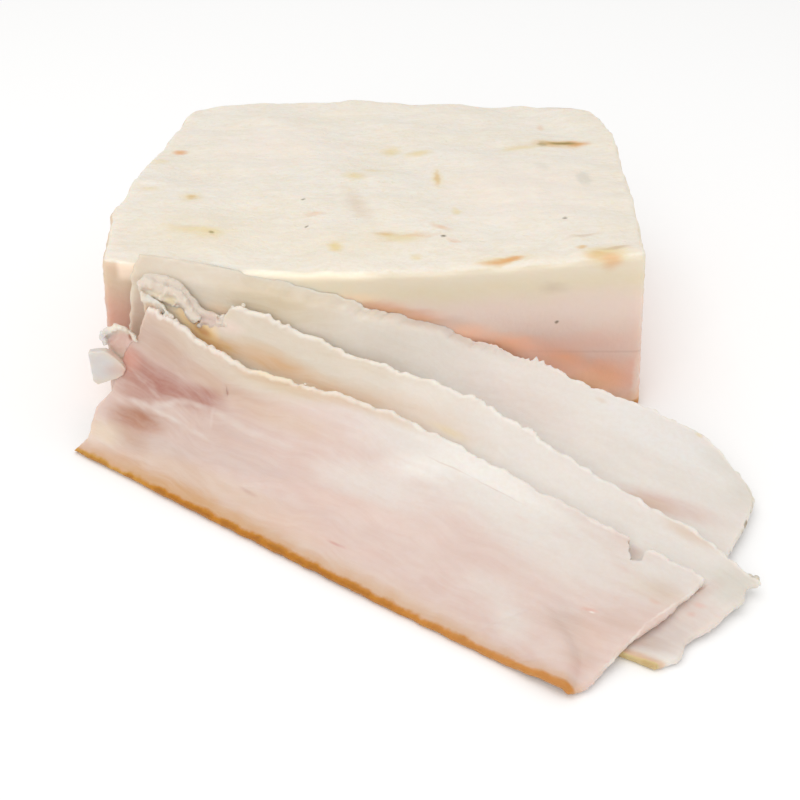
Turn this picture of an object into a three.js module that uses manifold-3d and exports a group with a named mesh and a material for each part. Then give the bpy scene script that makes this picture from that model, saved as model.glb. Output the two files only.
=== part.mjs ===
import * as THREE from 'three';
import { mergeVertices } from 'three/addons/utils/BufferGeometryUtils.js';
import Module from 'manifold-3d';

const wasm = await Module();
wasm.setup();

// A slab of cured pork fat with three slices cut from its front face. The slices lean on the
// face and on each other, upright at the left and lying almost flat at the right.
// Millimetres. X runs along the cut face, Y goes back into the slab, Z is up, rind underneath.

// Slab: half widths from front to back, and depths from left to right, at even stations
const slabHeight = 45;
const leftReach = [66.2, 67.4, 66.4, 63.9, 60.1, 57.7];
const rightReach = [65.5, 66.6, 67.7, 68.1, 68.2, 64.5];
const backReach = [92.0, 98.3, 100.8, 98.8, 98.5, 92.5];
const leftFlare = 3.4;            // how far the sides spread from the top to the rind
const rightFlare = 3.2;
const slabRim = 1.5;              // radius of the cut edges
const rimSag = 5.2;               // dip of the top at the front edge, deepest a little left of centre
const rimSagCentre = -8;
const rimSagHalfWidth = 68.8;
const rimSagReach = 45;           // how far back the dip runs out
const topWaves = [                // soft unevenness of the fat: height, pitch along X, pitch along Y, phase
  [0.45, 52, 90, 0.4],
  [0.30, 31, 44, 2.1],
  [0.18, 90, 17, 4.0],
];
const slabGrid = { across: 26, back: 18, up: 8 };
const leanGap = 0.5;              // clearance between the cut face and the slice that leans on it

// Slices: stations from the left end to the right end. Recline is the angle between the floor
// and the slice, slant shifts the top edge to the right, sag bows the slice between its edges.
const sliceThickness = 2.0;
const topEdgeShare = 0.55;        // thickness left at the torn top edge
const endShare = 0.7;             // thickness left at the two ends
const sliceRim = 1.1;             // width of the band that thins towards an edge
const sliceGrid = { along: 50, up: 10 };
const faceStep = 0.004;           // share of length and width over which a slice's direction is taken
const rearSlice = {
  foot: [-65.3, -7.4], yaw: -25.8, length: 149.7, bow: -7.9,
  recline: [78.9, 57.5, 31.2, 17.7, 2.4],
  width: [45.9, 41.5, 41.9, 44.4, 44.8],
  slant: [3.6, 7.5, 3.5, 1.3, 4.5],
  sag: [0, 0, 0, 1, 1],
  leftInset: 0, topInset: 0, endBulge: 0, roundFrom: 0.72, roundReach: 21, ragged: 0.5, phase: 1.3,
};
const middleSlice = {
  foot: [-65.2, -12.4], yaw: -32.8, length: 145.0, bow: 2.2,
  recline: [72.1, 38.1, 26.2, 14.9, 4.2],
  width: [42.0, 41.5, 44.3, 40.5, 36.2],
  slant: [5.6, 8.2, 8.5, 5.4, 10.6],
  sag: [0, 0, 0, 0, 0],
  leftInset: 0, topInset: 0, endBulge: 1.5, roundFrom: 0.86, roundReach: 2, ragged: 0.55, phase: 3.9,
};
const frontSlice = {
  foot: [-74.3, -19.3], yaw: -34.8, length: 137.9, bow: 0.7,
  recline: [63.2, 42.6, 26.3, 16.2, 7.1],
  width: [42.8, 36.2, 41.7, 41.1, 40.7],
  slant: [6.4, -1.0, 1.9, 4.6, 9.9],
  sag: [-3, -3, -1, 0, 1],
  leftInset: 2.2, topInset: 2.2, endBulge: 0, roundFrom: 0.9, roundReach: 1, ragged: 0.6, phase: 0.2,
};
const raggedWaves = [[13.4, 1.0, 1], [5.6, 0.7, 2]];   // of a torn edge: length, share, times phase
const bulgeReach = 0.4;           // share of the width, from the rind up, over which an end bulges
// A crease runs down to the lower right corner of the front slice: along and up at its two ends
const crease = { from: [0.80, 0.46], to: [0.985, 0.0], height: 1.0, width: 0.06 };

// Tears cut into a top edge: outlines along the slice and down from its top edge
const middleTear = {
  along: 0.085,
  outline: [
    [-13, 3], [-8.3, -2.0], [-4.1, -4.9], [-0.7, -7.3], [0.7, -8.6], [2.7, -7.6], [3.8, -3.8], [4.6, 3],
  ],
};
const frontTear = {
  along: 0.915,
  outline: [[-4.6, 3], [-4.0, -0.2], [-2.3, -2.3], [0.1, -4.8], [1.7, -3.7], [1.3, -1.0], [1.6, 3]],
};
const tearReach = 12;             // how far a tear cutter passes through the slice
const tearFrame = 0.1;            // share of the width under the edge that sets a cutter's upright

// Torn scraps at the left ends
const scrapThickness = 2.6;
const scrapBevel = 0.5;
const flapPlane = -11.6;          // Y of the middle of the flap
const flapOutline = [
  [-70.0, 24.6], [-67.6, 24.9], [-64.6, 23.4], [-60.4, 20.6], [-61.4, 18.0], [-65.4, 16.7],
  [-68.6, 15.4], [-69.6, 18.6],
];
const curlPath = [
  [-59.6, -10.6, 25.0], [-64.2, -10.6, 25.8], [-66.0, -10.4, 28.8], [-63.8, -10.0, 31.3],
  [-60.7, -9.8, 31.3], [-57.7, -10.2, 28.4],
];
const curlRadius = [1.5, 1.1];    // half width and half thickness of the curled strip
const lipPath = [
  [-54.4, -5.4, 39.4], [-52.2, -5.5, 39.8], [-49.0, -5.8, 38.4], [-46.9, -6.4, 36.4],
  [-45.4, -7.3, 33.8], [-43.6, -8.2, 31.0],
];
const lipRadius = [1.7, 1.3];
const stripSides = 8;
const stripSteps = 14;
const sharedPoint = 1e-4;         // points closer than this are one

const looks = {
  slab: { color: 0xe6dac4, roughness: 0.55, metalness: 0 },
  slice_rear: { color: 0xdccab6, roughness: 0.42, metalness: 0 },
  slice_middle: { color: 0xdfd2c3, roughness: 0.4, metalness: 0 },
  slice_front: { color: 0xe2cdc3, roughness: 0.38, metalness: 0 },
};

// Smooth curve through values at even stations, t from 0 to 1
function through(values, t) {
  const last = values.length - 1;
  const i = THREE.MathUtils.clamp(Math.floor(t * last), 0, last - 1);
  const f = t * last - i;
  const slope = (k) => (values[Math.min(k + 1, last)] - values[Math.max(k - 1, 0)])
    / (Math.min(k + 1, last) - Math.max(k - 1, 0));
  return THREE.MathUtils.lerp(values[i], values[i + 1], f * f * (3 - 2 * f))
    + slope(i) * f * (1 - f) ** 2 - slope(i + 1) * f * f * (1 - f);
}

// Grid line number i of n as a share of the length, with one narrow band at each end
function gridLine(i, n, rimShare) {
  if (i === 0 || i === n) return i / n;
  return THREE.MathUtils.lerp(rimShare, 1 - rimShare, (i - 1) / (n - 2));
}

// A unit box whose points are moved by place(i, j, k), one closed skin with shared points
function mapBox(nx, ny, nz, place) {
  const box = new THREE.BoxGeometry(1, 1, 1, nx, ny, nz);
  const points = box.attributes.position;
  for (let p = 0; p < points.count; p++) {
    const i = Math.round((points.getX(p) + 0.5) * nx);
    const j = Math.round((points.getY(p) + 0.5) * ny);
    const k = Math.round((points.getZ(p) + 0.5) * nz);
    points.setXYZ(p, ...place(i, j, k).toArray());
  }
  return box;
}

function slabTop(x, y) {
  const dip = Math.max(0, 1 - ((x - rimSagCentre) / rimSagHalfWidth) ** 2);
  const fade = Math.max(0, 1 - y / rimSagReach) ** 2;
  let z = slabHeight - rimSag * dip * fade;
  for (const [height, pitchX, pitchY, phase] of topWaves) {
    z += height * (1 - fade) * Math.sin(2 * Math.PI * (x / pitchX + y / pitchY) + phase);
  }
  return z;
}

function slabPoint(i, j, k) {
  const { across: nx, back: ny, up: nz } = slabGrid;
  const across = 2 * gridLine(i, nx, slabRim / (2 * rightReach[0])) - 1;
  const back = gridLine(j, ny, slabRim / backReach[0]);
  const up = k === nz ? 1 : k / (nz - 1) * (1 - slabRim / slabHeight);
  const side = Math.sign(across);
  const reach = through(side < 0 ? leftReach : rightReach, back);
  const flare = (side < 0 ? leftFlare : rightFlare) * (1 - up);
  const depth = through(backReach, (across + 1) / 2);
  const point = new THREE.Vector3(across * (reach + flare), back * depth, 0);
  point.z = up * slabTop(point.x, point.y);

  // Round the top rim and the upright edges
  const fromSide = (1 - Math.abs(across)) * reach;
  const fromEnd = Math.min(back, 1 - back) * depth;
  const fromTop = (1 - up) * slabHeight;
  const inside = new THREE.Vector3(fromSide, fromEnd, fromTop);
  const over = new THREE.Vector3().setScalar(slabRim).sub(inside).max(new THREE.Vector3());
  const excess = over.clone().multiplyScalar(Math.max(0, 1 - slabRim / Math.max(over.length(), slabRim)));
  point.x -= side * excess.x;
  point.y += (back < 0.5 ? 1 : -1) * excess.y + leanGap;
  point.z -= excess.z;
  return point;
}

// Point on the middle surface of a slice: along from the left end, up from the rind edge
function sheetPoint(slice, along, up) {
  const yaw = THREE.MathUtils.degToRad(slice.yaw);
  const run = new THREE.Vector3(Math.cos(yaw), Math.sin(yaw), 0);
  const away = new THREE.Vector3(-Math.sin(yaw), Math.cos(yaw), 0);
  const angle = THREE.MathUtils.degToRad(through(slice.recline, along));
  const rise = away.clone().multiplyScalar(Math.cos(angle)).setZ(Math.sin(angle));
  const face = away.clone().multiplyScalar(-Math.sin(angle)).setZ(Math.cos(angle));
  const point = new THREE.Vector3(...slice.foot, sliceThickness / 2 * Math.cos(angle));
  point.addScaledVector(run, along * slice.length + up * through(slice.slant, along));
  point.addScaledVector(away, -slice.bow * 4 * along * (1 - along));
  point.addScaledVector(rise, up * through(slice.width, along));
  const bowed = through(slice.sag, along) * Math.sin(Math.PI * up);
  point.addScaledVector(face, bowed + foldHeight(slice, along, up));
  return point;
}

// The crease of the front slice: a low ridge that falls away on its right
function foldHeight(slice, along, up) {
  if (slice !== frontSlice) return 0;
  const [fromAlong, fromUp] = crease.from;
  const [toAlong, toUp] = crease.to;
  const part = THREE.MathUtils.clamp((fromUp - up) / (fromUp - toUp), 0, 1);
  const offset = (along - THREE.MathUtils.lerp(fromAlong, toAlong, part)) / crease.width;
  return crease.height * part * (1 - part) * 4 * Math.exp(-(offset ** 2));
}

function sheetFace(slice, along, up) {
  const alongStep = sheetPoint(slice, along + faceStep, up).sub(sheetPoint(slice, along - faceStep, up));
  const upStep = sheetPoint(slice, along, up + faceStep).sub(sheetPoint(slice, along, up - faceStep));
  return alongStep.cross(upStep).normalize();
}

function raggedEdge(slice, along) {
  const run = along * slice.length;
  let offset = 0;
  for (const [length, share, times] of raggedWaves) {
    offset += slice.ragged * share * Math.sin(2 * Math.PI * run / length + times * slice.phase);
  }
  return offset;
}

function slicePoint(slice, i, j, k) {
  const { along: nu, up: nv } = sliceGrid;
  const a = gridLine(i, nu, sliceRim / slice.length);
  const b = gridLine(j, nv, sliceRim / slice.width[2]);
  const round = Math.max(0, (b - slice.roundFrom) / (1 - slice.roundFrom));
  const start = (slice.leftInset * Math.sin(Math.PI * b) + slice.topInset * b ** 2) / slice.length;
  const end = 1 + (slice.endBulge * Math.sin(Math.PI * Math.min(1, b / bulgeReach))
    - slice.roundReach * (1 - Math.sqrt(1 - round ** 2))) / slice.length;
  const along = THREE.MathUtils.lerp(start, end, a);
  const up = b * (1 + raggedEdge(slice, along) / slice.width[2]);
  const share = (j === nv ? topEdgeShare : 1) * (i === 0 || i === nu ? endShare : 1);
  const point = sheetPoint(slice, along, up);
  point.addScaledVector(sheetFace(slice, along, up), (k - 0.5) * sliceThickness * share);
  point.z = Math.max(0, point.z);
  return point;
}

function toManifold(geometry) {
  const bare = geometry.clone();
  bare.deleteAttribute('normal');
  bare.deleteAttribute('uv');
  const merged = mergeVertices(bare, sharedPoint);
  return new wasm.Manifold(new wasm.Mesh({
    numProp: 3,
    vertProperties: Float32Array.from(merged.attributes.position.array),
    triVerts: Uint32Array.from(merged.index.array),
  }));
}

function toGeometry(solid) {
  const { vertProperties, triVerts } = solid.getMesh();
  const geometry = new THREE.BufferGeometry();
  geometry.setAttribute('position', new THREE.BufferAttribute(vertProperties, 3));
  geometry.setIndex(new THREE.BufferAttribute(triVerts, 1));
  geometry.computeVertexNormals();
  return geometry;
}

function outlineShape(points) {
  return new THREE.Shape(points.map(([x, y]) => new THREE.Vector2(x, y)));
}

// A cutter through a slice at its top edge, standing in the slice's own directions
function tearCutter(slice, tear) {
  const settings = { depth: tearReach, bevelEnabled: false };
  const geometry = new THREE.ExtrudeGeometry(outlineShape(tear.outline), settings);
  geometry.translate(0, 0, -tearReach / 2);
  const face = sheetFace(slice, tear.along, 1);
  const below = sheetPoint(slice, tear.along, 1 - tearFrame);
  const rise = sheetPoint(slice, tear.along, 1).sub(below).normalize();
  const run = new THREE.Vector3().crossVectors(rise, face).normalize();
  const turn = new THREE.Matrix4().makeBasis(run, new THREE.Vector3().crossVectors(face, run), face);
  geometry.applyMatrix4(turn.setPosition(sheetPoint(slice, tear.along, 1)));
  return toManifold(geometry);
}

// A flat torn flap that stands in a plane parallel to the cut face
function flap(outline, planeY) {
  const geometry = new THREE.ExtrudeGeometry(outlineShape(outline), {
    depth: scrapThickness - 2 * scrapBevel,
    bevelSize: scrapBevel,
    bevelThickness: scrapBevel,
    bevelOffset: -scrapBevel,
    bevelSegments: 1,
  });
  geometry.rotateX(Math.PI / 2);
  geometry.translate(0, planeY + scrapThickness / 2, 0);
  return toManifold(geometry);
}

// A narrow strip of fat swept along a curved path
function strip(path, [halfWidth, halfThickness]) {
  const curve = new THREE.CatmullRomCurve3(path.map((p) => new THREE.Vector3(...p)));
  const section = new THREE.Shape();
  section.absellipse(0, 0, halfWidth, halfThickness, 0, 2 * Math.PI);
  return toManifold(new THREE.ExtrudeGeometry(section, {
    steps: stripSteps,
    curveSegments: stripSides,
    extrudePath: curve,
  }));
}

function slabGeometry() {
  const { across, back, up } = slabGrid;
  return toGeometry(toManifold(mapBox(across, back, up, slabPoint)));
}

function sliceSolid(slice) {
  const { along, up } = sliceGrid;
  return toManifold(mapBox(along, up, 1, (i, j, k) => slicePoint(slice, i, j, k)));
}

function middleGeometry() {
  const torn = sliceSolid(middleSlice).subtract(tearCutter(middleSlice, middleTear));
  return toGeometry(torn.add(strip(lipPath, lipRadius)));
}

function frontGeometry() {
  const torn = sliceSolid(frontSlice).subtract(tearCutter(frontSlice, frontTear));
  return toGeometry(torn.add(flap(flapOutline, flapPlane)).add(strip(curlPath, curlRadius)));
}

function addPiece(group, name, geometry) {
  const mesh = new THREE.Mesh(geometry, new THREE.MeshStandardMaterial(looks[name]));
  mesh.name = name;
  group.add(mesh);
}

const pieces = new THREE.Group();
addPiece(pieces, 'slab', slabGeometry());
addPiece(pieces, 'slice_rear', toGeometry(sliceSolid(rearSlice)));
addPiece(pieces, 'slice_middle', middleGeometry());
addPiece(pieces, 'slice_front', frontGeometry());

// The origin is on the floor under the middle of the whole
const extent = new THREE.Box3().setFromObject(pieces);
const middle = extent.getCenter(new THREE.Vector3());
pieces.position.set(-middle.x, -middle.y, -extent.min.z);

const porkSlab = new THREE.Group();
porkSlab.add(pieces);

export default porkSlab;
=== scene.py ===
import math
import random

import bmesh
import bpy
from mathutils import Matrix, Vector, noise


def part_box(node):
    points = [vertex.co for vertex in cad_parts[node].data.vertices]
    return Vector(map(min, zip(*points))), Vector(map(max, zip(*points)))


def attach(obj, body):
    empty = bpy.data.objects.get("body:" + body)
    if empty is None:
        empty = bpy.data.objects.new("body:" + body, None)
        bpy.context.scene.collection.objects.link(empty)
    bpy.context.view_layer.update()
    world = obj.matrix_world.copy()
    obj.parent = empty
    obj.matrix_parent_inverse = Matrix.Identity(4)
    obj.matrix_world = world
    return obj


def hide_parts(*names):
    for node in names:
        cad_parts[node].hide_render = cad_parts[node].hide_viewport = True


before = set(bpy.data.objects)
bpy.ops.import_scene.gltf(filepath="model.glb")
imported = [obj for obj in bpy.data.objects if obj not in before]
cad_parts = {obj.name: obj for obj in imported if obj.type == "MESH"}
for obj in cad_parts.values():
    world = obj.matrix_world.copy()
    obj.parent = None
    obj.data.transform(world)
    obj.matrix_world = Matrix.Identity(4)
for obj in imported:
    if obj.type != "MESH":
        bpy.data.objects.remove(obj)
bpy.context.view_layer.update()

# A slab of cured pork fat with three slices cut from its front face, which lean on it.
# The dictionaries hold millimetres and degrees, the meshes metres.
mm = 0.001
print("frame loaded:", len(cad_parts), "nodes")

# Tones of the fat, as the eye sees them
tones = {
    "cream": (233, 226, 214),
    "white": (240, 236, 230),
    "ivory": (229, 216, 190),
    "shell": (239, 227, 216),
    "yellow": (226, 205, 148),
    "ochre": (214, 172, 98),
    "rust": (220, 156, 92),
    "olive": (146, 124, 58),
    "brown": (196, 166, 134),
    "grey": (204, 200, 188),
    "dark": (112, 96, 66),
    "blush": (234, 214, 202),
    "pink": (228, 198, 184),
    "ruddy": (184, 136, 122),
    # brown for painted shade in dents, the groove, the tear, the curl and under other slices
    "brownShade": (176, 122, 96),
    "salmon": (232, 168, 140),
    "amber": (214, 164, 104),
    "gold": (196, 146, 58),
    "rind": (191, 126, 16),
    "rindDark": (158, 98, 8),
    "coral": (222, 158, 140),
    "rose": (232, 188, 170),
    "glow": (248, 178, 146),
    "frost": (229, 226, 222),
    "wax": (208, 190, 158),
    "nude": (198, 164, 144),
    "sand": (202, 158, 112),
    "moss": (178, 172, 142),
    "pearl": (224, 217, 210),
    "flesh": (214, 188, 178),
    "tan": (212, 184, 158),
    "oat": (216, 203, 184),
    "lilac": (204, 187, 180),
    "vein": (196, 100, 82),
    "scrap": (224, 212, 198),
    "chalk": (216, 214, 212),
    "apricot": (246, 216, 182),
    "straw": (204, 186, 136),
    "mauve": (194, 168, 154),
    "caramel": (196, 136, 66),
    "honey": (250, 216, 158),
    "peach": (226, 198, 186),
    "wine": (170, 108, 93),
    "ember": (255, 184, 138),
    "fleck": (96, 60, 36),
}


def linear(name):
    channels = [c / 255 for c in tones[name]]
    return [*((c / 12.92 if c < 0.04 else ((c + 0.055) / 1.055) ** 2.4) for c in channels), 1]


def onlySelect(obj):
    bpy.ops.object.select_all(action="DESELECT")
    obj.select_set(True)
    bpy.context.view_layer.objects.active = obj


# Camera, floor and light

studio = {
    "cameraPlace": (-0.412, -258.083, 182.30),
    "cameraTilt": 55,            # up from looking straight down
    "lens": 54,
    "sensor": 36,
    "floorSize": 8000,
    "floorColour": (1, 1, 1, 1),
    "skyColour": (1.0, 0.995, 0.985, 1),
    "skyStrength": 0.72,
    "lampSize": 1000,
    "lamps": {
        "overhead": {"place": (-150, -100, 1000), "turn": (0, -8, 0), "watts": 3.1},
        "front": {"place": (-300, -1100, 700), "turn": (58, 0, -14), "watts": 4.0},
    },
}


def makeCamera():
    place = [c * mm for c in studio["cameraPlace"]]
    bpy.ops.object.camera_add(location=place, rotation=(math.radians(studio["cameraTilt"]), 0, 0))
    camera = bpy.context.object
    camera.name = "photo_camera"
    camera.data.lens = studio["lens"]
    camera.data.sensor_width = studio["sensor"]
    camera.data.clip_start = 0.01
    bpy.context.scene.camera = camera


def makeFloor():
    bpy.ops.mesh.primitive_plane_add(size=studio["floorSize"] * mm)
    floor = bpy.context.object
    floor.name = "floor"
    paper = bpy.data.materials.new("white_paper")
    paper.use_nodes = True
    shader = paper.node_tree.nodes["Principled BSDF"]
    shader.inputs["Base Color"].default_value = studio["floorColour"]
    shader.inputs["Roughness"].default_value = 1.0
    shader.inputs["Specular IOR Level"].default_value = 0.0
    floor.data.materials.append(paper)


def makeLights():
    world = bpy.data.worlds.new("white_room")
    world.use_nodes = True
    sky = world.node_tree.nodes["Background"]
    sky.inputs["Color"].default_value = studio["skyColour"]
    sky.inputs["Strength"].default_value = studio["skyStrength"]
    bpy.context.scene.world = world
    for name, lamp in studio["lamps"].items():
        turn = [math.radians(a) for a in lamp["turn"]]
        place = [c * mm for c in lamp["place"]]
        bpy.ops.object.light_add(type="AREA", location=place, rotation=turn)
        light = bpy.context.object
        light.name = "lamp_" + name
        light.data.energy = lamp["watts"]
        light.data.size = studio["lampSize"] * mm
    bpy.context.scene.view_settings.view_transform = "Standard"


makeCamera()
makeFloor()
makeLights()
print("camera, floor and lights set")


# Nodes: small helpers, then the groups that the materials share

def put(tree, kind, inputs=None, **settings):
    node = tree.nodes.new("ShaderNode" + kind)
    for name, value in settings.items():
        setattr(node, name, value)
    for socket, value in (inputs or {}).items():
        if isinstance(value, bpy.types.NodeSocket):
            tree.links.new(value, node.inputs[socket])
        else:
            node.inputs[socket].default_value = value
    return node


def calc(tree, operation, *values):
    return put(tree, "Math", dict(enumerate(values)), operation=operation).outputs[0]


def product(tree, first, *others):
    for value in others:
        first = calc(tree, "MULTIPLY", first, value)
    return first


def vector(tree, operation, *values):
    return put(tree, "VectorMath", dict(enumerate(values)), operation=operation).outputs[0]


def blendTo(tree, mask, base, tone):
    return put(tree, "Mix", {0: mask, 6: base, 7: tone}, data_type="RGBA").outputs[2]


# Lays tones over a colour, one after the other
def paint(tree, colour, *layers):
    for mask, tone in layers:
        colour = blendTo(tree, mask, colour, linear(tone))
    return colour


def ease(tree, value, low, high, toLow=0.0, toHigh=1.0):
    node = put(tree, "MapRange", {0: value, 1: low, 2: high, 3: toLow, 4: toHigh},
               interpolation_type="SMOOTHSTEP")
    return node.outputs[0]


def newGroup(name, inputs, outputs):
    tree = bpy.data.node_groups.new(name, "ShaderNodeTree")
    for label, kind, value in inputs:
        socket = tree.interface.new_socket(label, in_out="INPUT", socket_type="NodeSocket" + kind)
        if value is not None:
            socket.default_value = value
    for label, kind in outputs:
        tree.interface.new_socket(label, in_out="OUTPUT", socket_type="NodeSocket" + kind)
    return tree, tree.nodes.new("NodeGroupInput").outputs, tree.nodes.new("NodeGroupOutput").inputs


def useGroup(tree, group, inputs):
    return put(tree, "Group", inputs, node_tree=group).outputs


# A soft spot of colour, for stains and blushes and for patches of painted shade and painted light. Depth is
# 1 in its middle and 0 at its edge.
def makeSpotGroup():
    tree, given, result = newGroup("fat_spot", [
        ("Color", "Color", None), ("Tone", "Color", None),
        ("Depth", "Float", 0.0), ("Soft", "Float", 0.9), ("Strength", "Float", 1.0),
    ], [("Color", "Color")])
    mask = ease(tree, given["Depth"], 0.0, given["Soft"], 0.0, given["Strength"])
    tree.links.new(blendTo(tree, mask, given["Color"], given["Tone"]), result["Color"])
    return tree


# Moves a position by noise, so that a spot laid out on it gets a ragged outline
def makeRaggedGroup():
    tree, given, result = newGroup("ragged_position", [
        ("Position", "Vector", None), ("Pitch", "Float", 3.0), ("Amount", "Float", 1.0),
    ], [("Position", "Vector")])
    drawn = vector(tree, "MULTIPLY", given["Position"], (0.35, 1, 1))
    scale = calc(tree, "DIVIDE", 1.0, given["Pitch"])
    cloud = put(tree, "TexNoise", {"Vector": drawn, "Scale": scale, "Detail": 3.0})
    centred = vector(tree, "SUBTRACT", cloud.outputs["Color"], (0.5, 0.5, 0.5))
    push = vector(tree, "MULTIPLY", centred, given["Amount"])
    tree.links.new(vector(tree, "ADD", given["Position"], push), result["Position"])
    return tree


# Long fibres of the fat, drawn out along X
def makeFibreGroup():
    tree, given, result = newGroup("fat_fibres", [
        ("Position", "Vector", None), ("Length", "Float", 12.0), ("Width", "Float", 1.4),
    ], [("Fibres", "Float"), ("Strands", "Float")])
    wander = put(tree, "TexNoise", {"Vector": given["Position"], "Scale": 0.06, "Detail": 1.0})
    bent = vector(tree, "MULTIPLY", wander.outputs["Color"], (9, 9, 9))
    place = vector(tree, "ADD", given["Position"], bent)
    pitch = put(tree, "CombineXYZ", {0: given["Length"], 1: given["Width"], 2: given["Width"]})
    drawn = vector(tree, "DIVIDE", place, pitch.outputs[0])
    broad = put(tree, "TexNoise", {"Vector": drawn, "Scale": 1.0, "Detail": 4.0, "Roughness": 0.55})
    thin = put(tree, "TexNoise", {"Vector": drawn, "Scale": 2.7, "Detail": 3.0, "Roughness": 0.6})
    tree.links.new(ease(tree, broad.outputs["Fac"], 0.3, 0.7), result["Fibres"])
    tree.links.new(ease(tree, thin.outputs["Fac"], 0.38, 0.68), result["Strands"])
    return tree


# Cloudy change of tone in the fat, broad and fine
def makeMottleGroup():
    tree, given, result = newGroup("fat_mottle", [
        ("Position", "Vector", None), ("Cloud", "Float", 14.0), ("Grain", "Float", 1.2),
    ], [("Clouds", "Float"), ("Grain", "Float")])
    position, scale = given["Position"], calc(tree, "DIVIDE", 1.0, given["Cloud"])
    cloud = put(tree, "TexNoise", {"Vector": position, "Scale": scale, "Detail": 3.0, "Roughness": 0.5})
    scale = calc(tree, "DIVIDE", 1.0, given["Grain"])
    grain = put(tree, "TexNoise", {"Vector": position, "Scale": scale, "Detail": 4.0, "Roughness": 0.6})
    tree.links.new(ease(tree, cloud.outputs["Fac"], 0.32, 0.68), result["Clouds"])
    tree.links.new(ease(tree, grain.outputs["Fac"], 0.3, 0.7), result["Grain"])
    return tree


# Height of cut fat: knife drag, soft grain and a few open pits
def makeCutGroup():
    tree, given, result = newGroup("cut_fat", [
        ("Position", "Vector", None), ("Grain", "Float", 0.5), ("Pits", "Float", 0.4),
    ], [("Height", "Float")])
    soft = put(tree, "TexNoise", {"Vector": given["Position"], "Scale": 0.55, "Detail": 5.0})
    drag = vector(tree, "MULTIPLY", given["Position"], (0.12, 1.6, 1.6))
    lines = put(tree, "TexNoise", {"Vector": drag, "Scale": 1.0, "Detail": 2.0})
    cells = put(tree, "TexVoronoi", {"Vector": given["Position"], "Scale": 0.45, "Randomness": 1.0})
    pits = ease(tree, cells.outputs["Distance"], 0.06, 0.26, 1.0, 0.0)
    kept = put(tree, "SeparateColor", {0: cells.outputs["Color"]}).outputs[0]
    pits = product(tree, pits, ease(tree, kept, 0.55, 0.8), given["Pits"])
    height = product(tree, soft.outputs["Fac"], given["Grain"])
    height = calc(tree, "MULTIPLY_ADD", lines.outputs["Fac"], 0.25, height)
    height = calc(tree, "SUBTRACT", height, pits)
    tree.links.new(height, result["Height"])
    return tree


# The rind along the foot: a hard amber skin that darkens to its lower edge
def makeRindGroup():
    tree, given, result = newGroup("rind_band", [
        ("Position", "Vector", None), ("Height", "Float", 0.0), ("Width", "Float", 2.0),
    ], [("Skin", "Float"), ("Glow", "Float"), ("Dark", "Float")])
    wave = put(tree, "TexNoise", {"Vector": given["Position"], "Scale": 0.3, "Detail": 4.0})
    lift = product(tree, calc(tree, "SUBTRACT", wave.outputs["Fac"], 0.5), given["Width"], 2.0)
    level = calc(tree, "DIVIDE", calc(tree, "SUBTRACT", given["Height"], lift), given["Width"])
    tree.links.new(ease(tree, level, 0.6, 1.4, 1.0, 0.0), result["Skin"])
    tree.links.new(ease(tree, level, 0.8, 3.6, 1.0, 0.0), result["Glow"])
    patchy = ease(tree, wave.outputs["Fac"], 0.35, 0.65, 0.5, 1.0)
    tree.links.new(product(tree, patchy, ease(tree, level, 0.1, 0.9, 1.0, 0.0)), result["Dark"])
    return tree


spotGroup = makeSpotGroup()
raggedGroup = makeRaggedGroup()
fibreGroup = makeFibreGroup()
mottleGroup = makeMottleGroup()
cutGroup = makeCutGroup()
rindGroup = makeRindGroup()
print("node groups made:", len(bpy.data.node_groups))


# A spot is a tone, centre, reach and strength, then its solid share and turn where these aren't
# 0.1 and 0. On a slice its centre and reach have no third number.
def addSpots(tree, colour, position, spots):
    for tone, centre, reach, strength, *rest in spots:
        core, turn = rest + [0.1, 0][len(rest):]
        ball = put(tree, "TexGradient", {"Vector": position}, gradient_type="SPHERICAL")
        ball.texture_mapping.vector_type = "TEXTURE"
        ball.texture_mapping.translation = (*centre, 0)[:3]
        ball.texture_mapping.rotation = (0, 0, math.radians(turn))
        ball.texture_mapping.scale = (*reach, 1)[:3]
        colour = useGroup(tree, spotGroup, {
            "Color": colour, "Tone": linear(tone),
            "Depth": ball.outputs["Fac"], "Soft": 1 - core, "Strength": strength,
        })["Color"]
    return colour


# A streak is a tone, a path, a half width and a strength
def addStreaks(tree, colour, position, streaks):
    spots = []
    for tone, path, width, strength in streaks:
        for (x0, y0), (x1, y1) in zip(path, path[1:]):
            length, turn = math.hypot(x1 - x0, y1 - y0), math.degrees(math.atan2(y1 - y0, x1 - x0))
            centre, reach = ((x0 + x1) / 2, (y0 + y1) / 2), (0.62 * length + width, width)
            spots.append((tone, centre, reach, strength, 0.0, turn))
    return addSpots(tree, colour, position, spots)


def fatMaterial(name, gloss):
    material = bpy.data.materials.new(name)
    material.use_nodes = True
    shader = material.node_tree.nodes["Principled BSDF"]
    shader.inputs["Subsurface Weight"].default_value = gloss["depth"]
    shader.inputs["Subsurface Radius"].default_value = (1.0, 0.7, 0.5)
    shader.inputs["Subsurface Scale"].default_value = gloss["reach"] * mm
    shader.inputs["Coat Roughness"].default_value = gloss["coatRoughness"]
    shader.inputs["IOR"].default_value = 1.45
    return material, material.node_tree, shader


# A smooth curve through values at even stations, t from 0 to 1
def through(values, t):
    last = len(values) - 1
    i = min(max(math.floor(t * last), 0), last - 1)
    f = t * last - i
    slopes = []
    for k in (i, i + 1):
        low, high = max(k - 1, 0), min(k + 1, last)
        slopes.append((values[high] - values[low]) / (high - low))
    mix = f * f * (3 - 2 * f)
    eased = values[i] * (1 - mix) + values[i + 1] * mix
    return eased + slopes[0] * f * (1 - f) ** 2 - slopes[1] * f * f * (1 - f)


def smooth(value, low, high):
    t = min(max((value - low) / (high - low), 0), 1)
    return t * t * (3 - 2 * t)


# The slab

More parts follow.
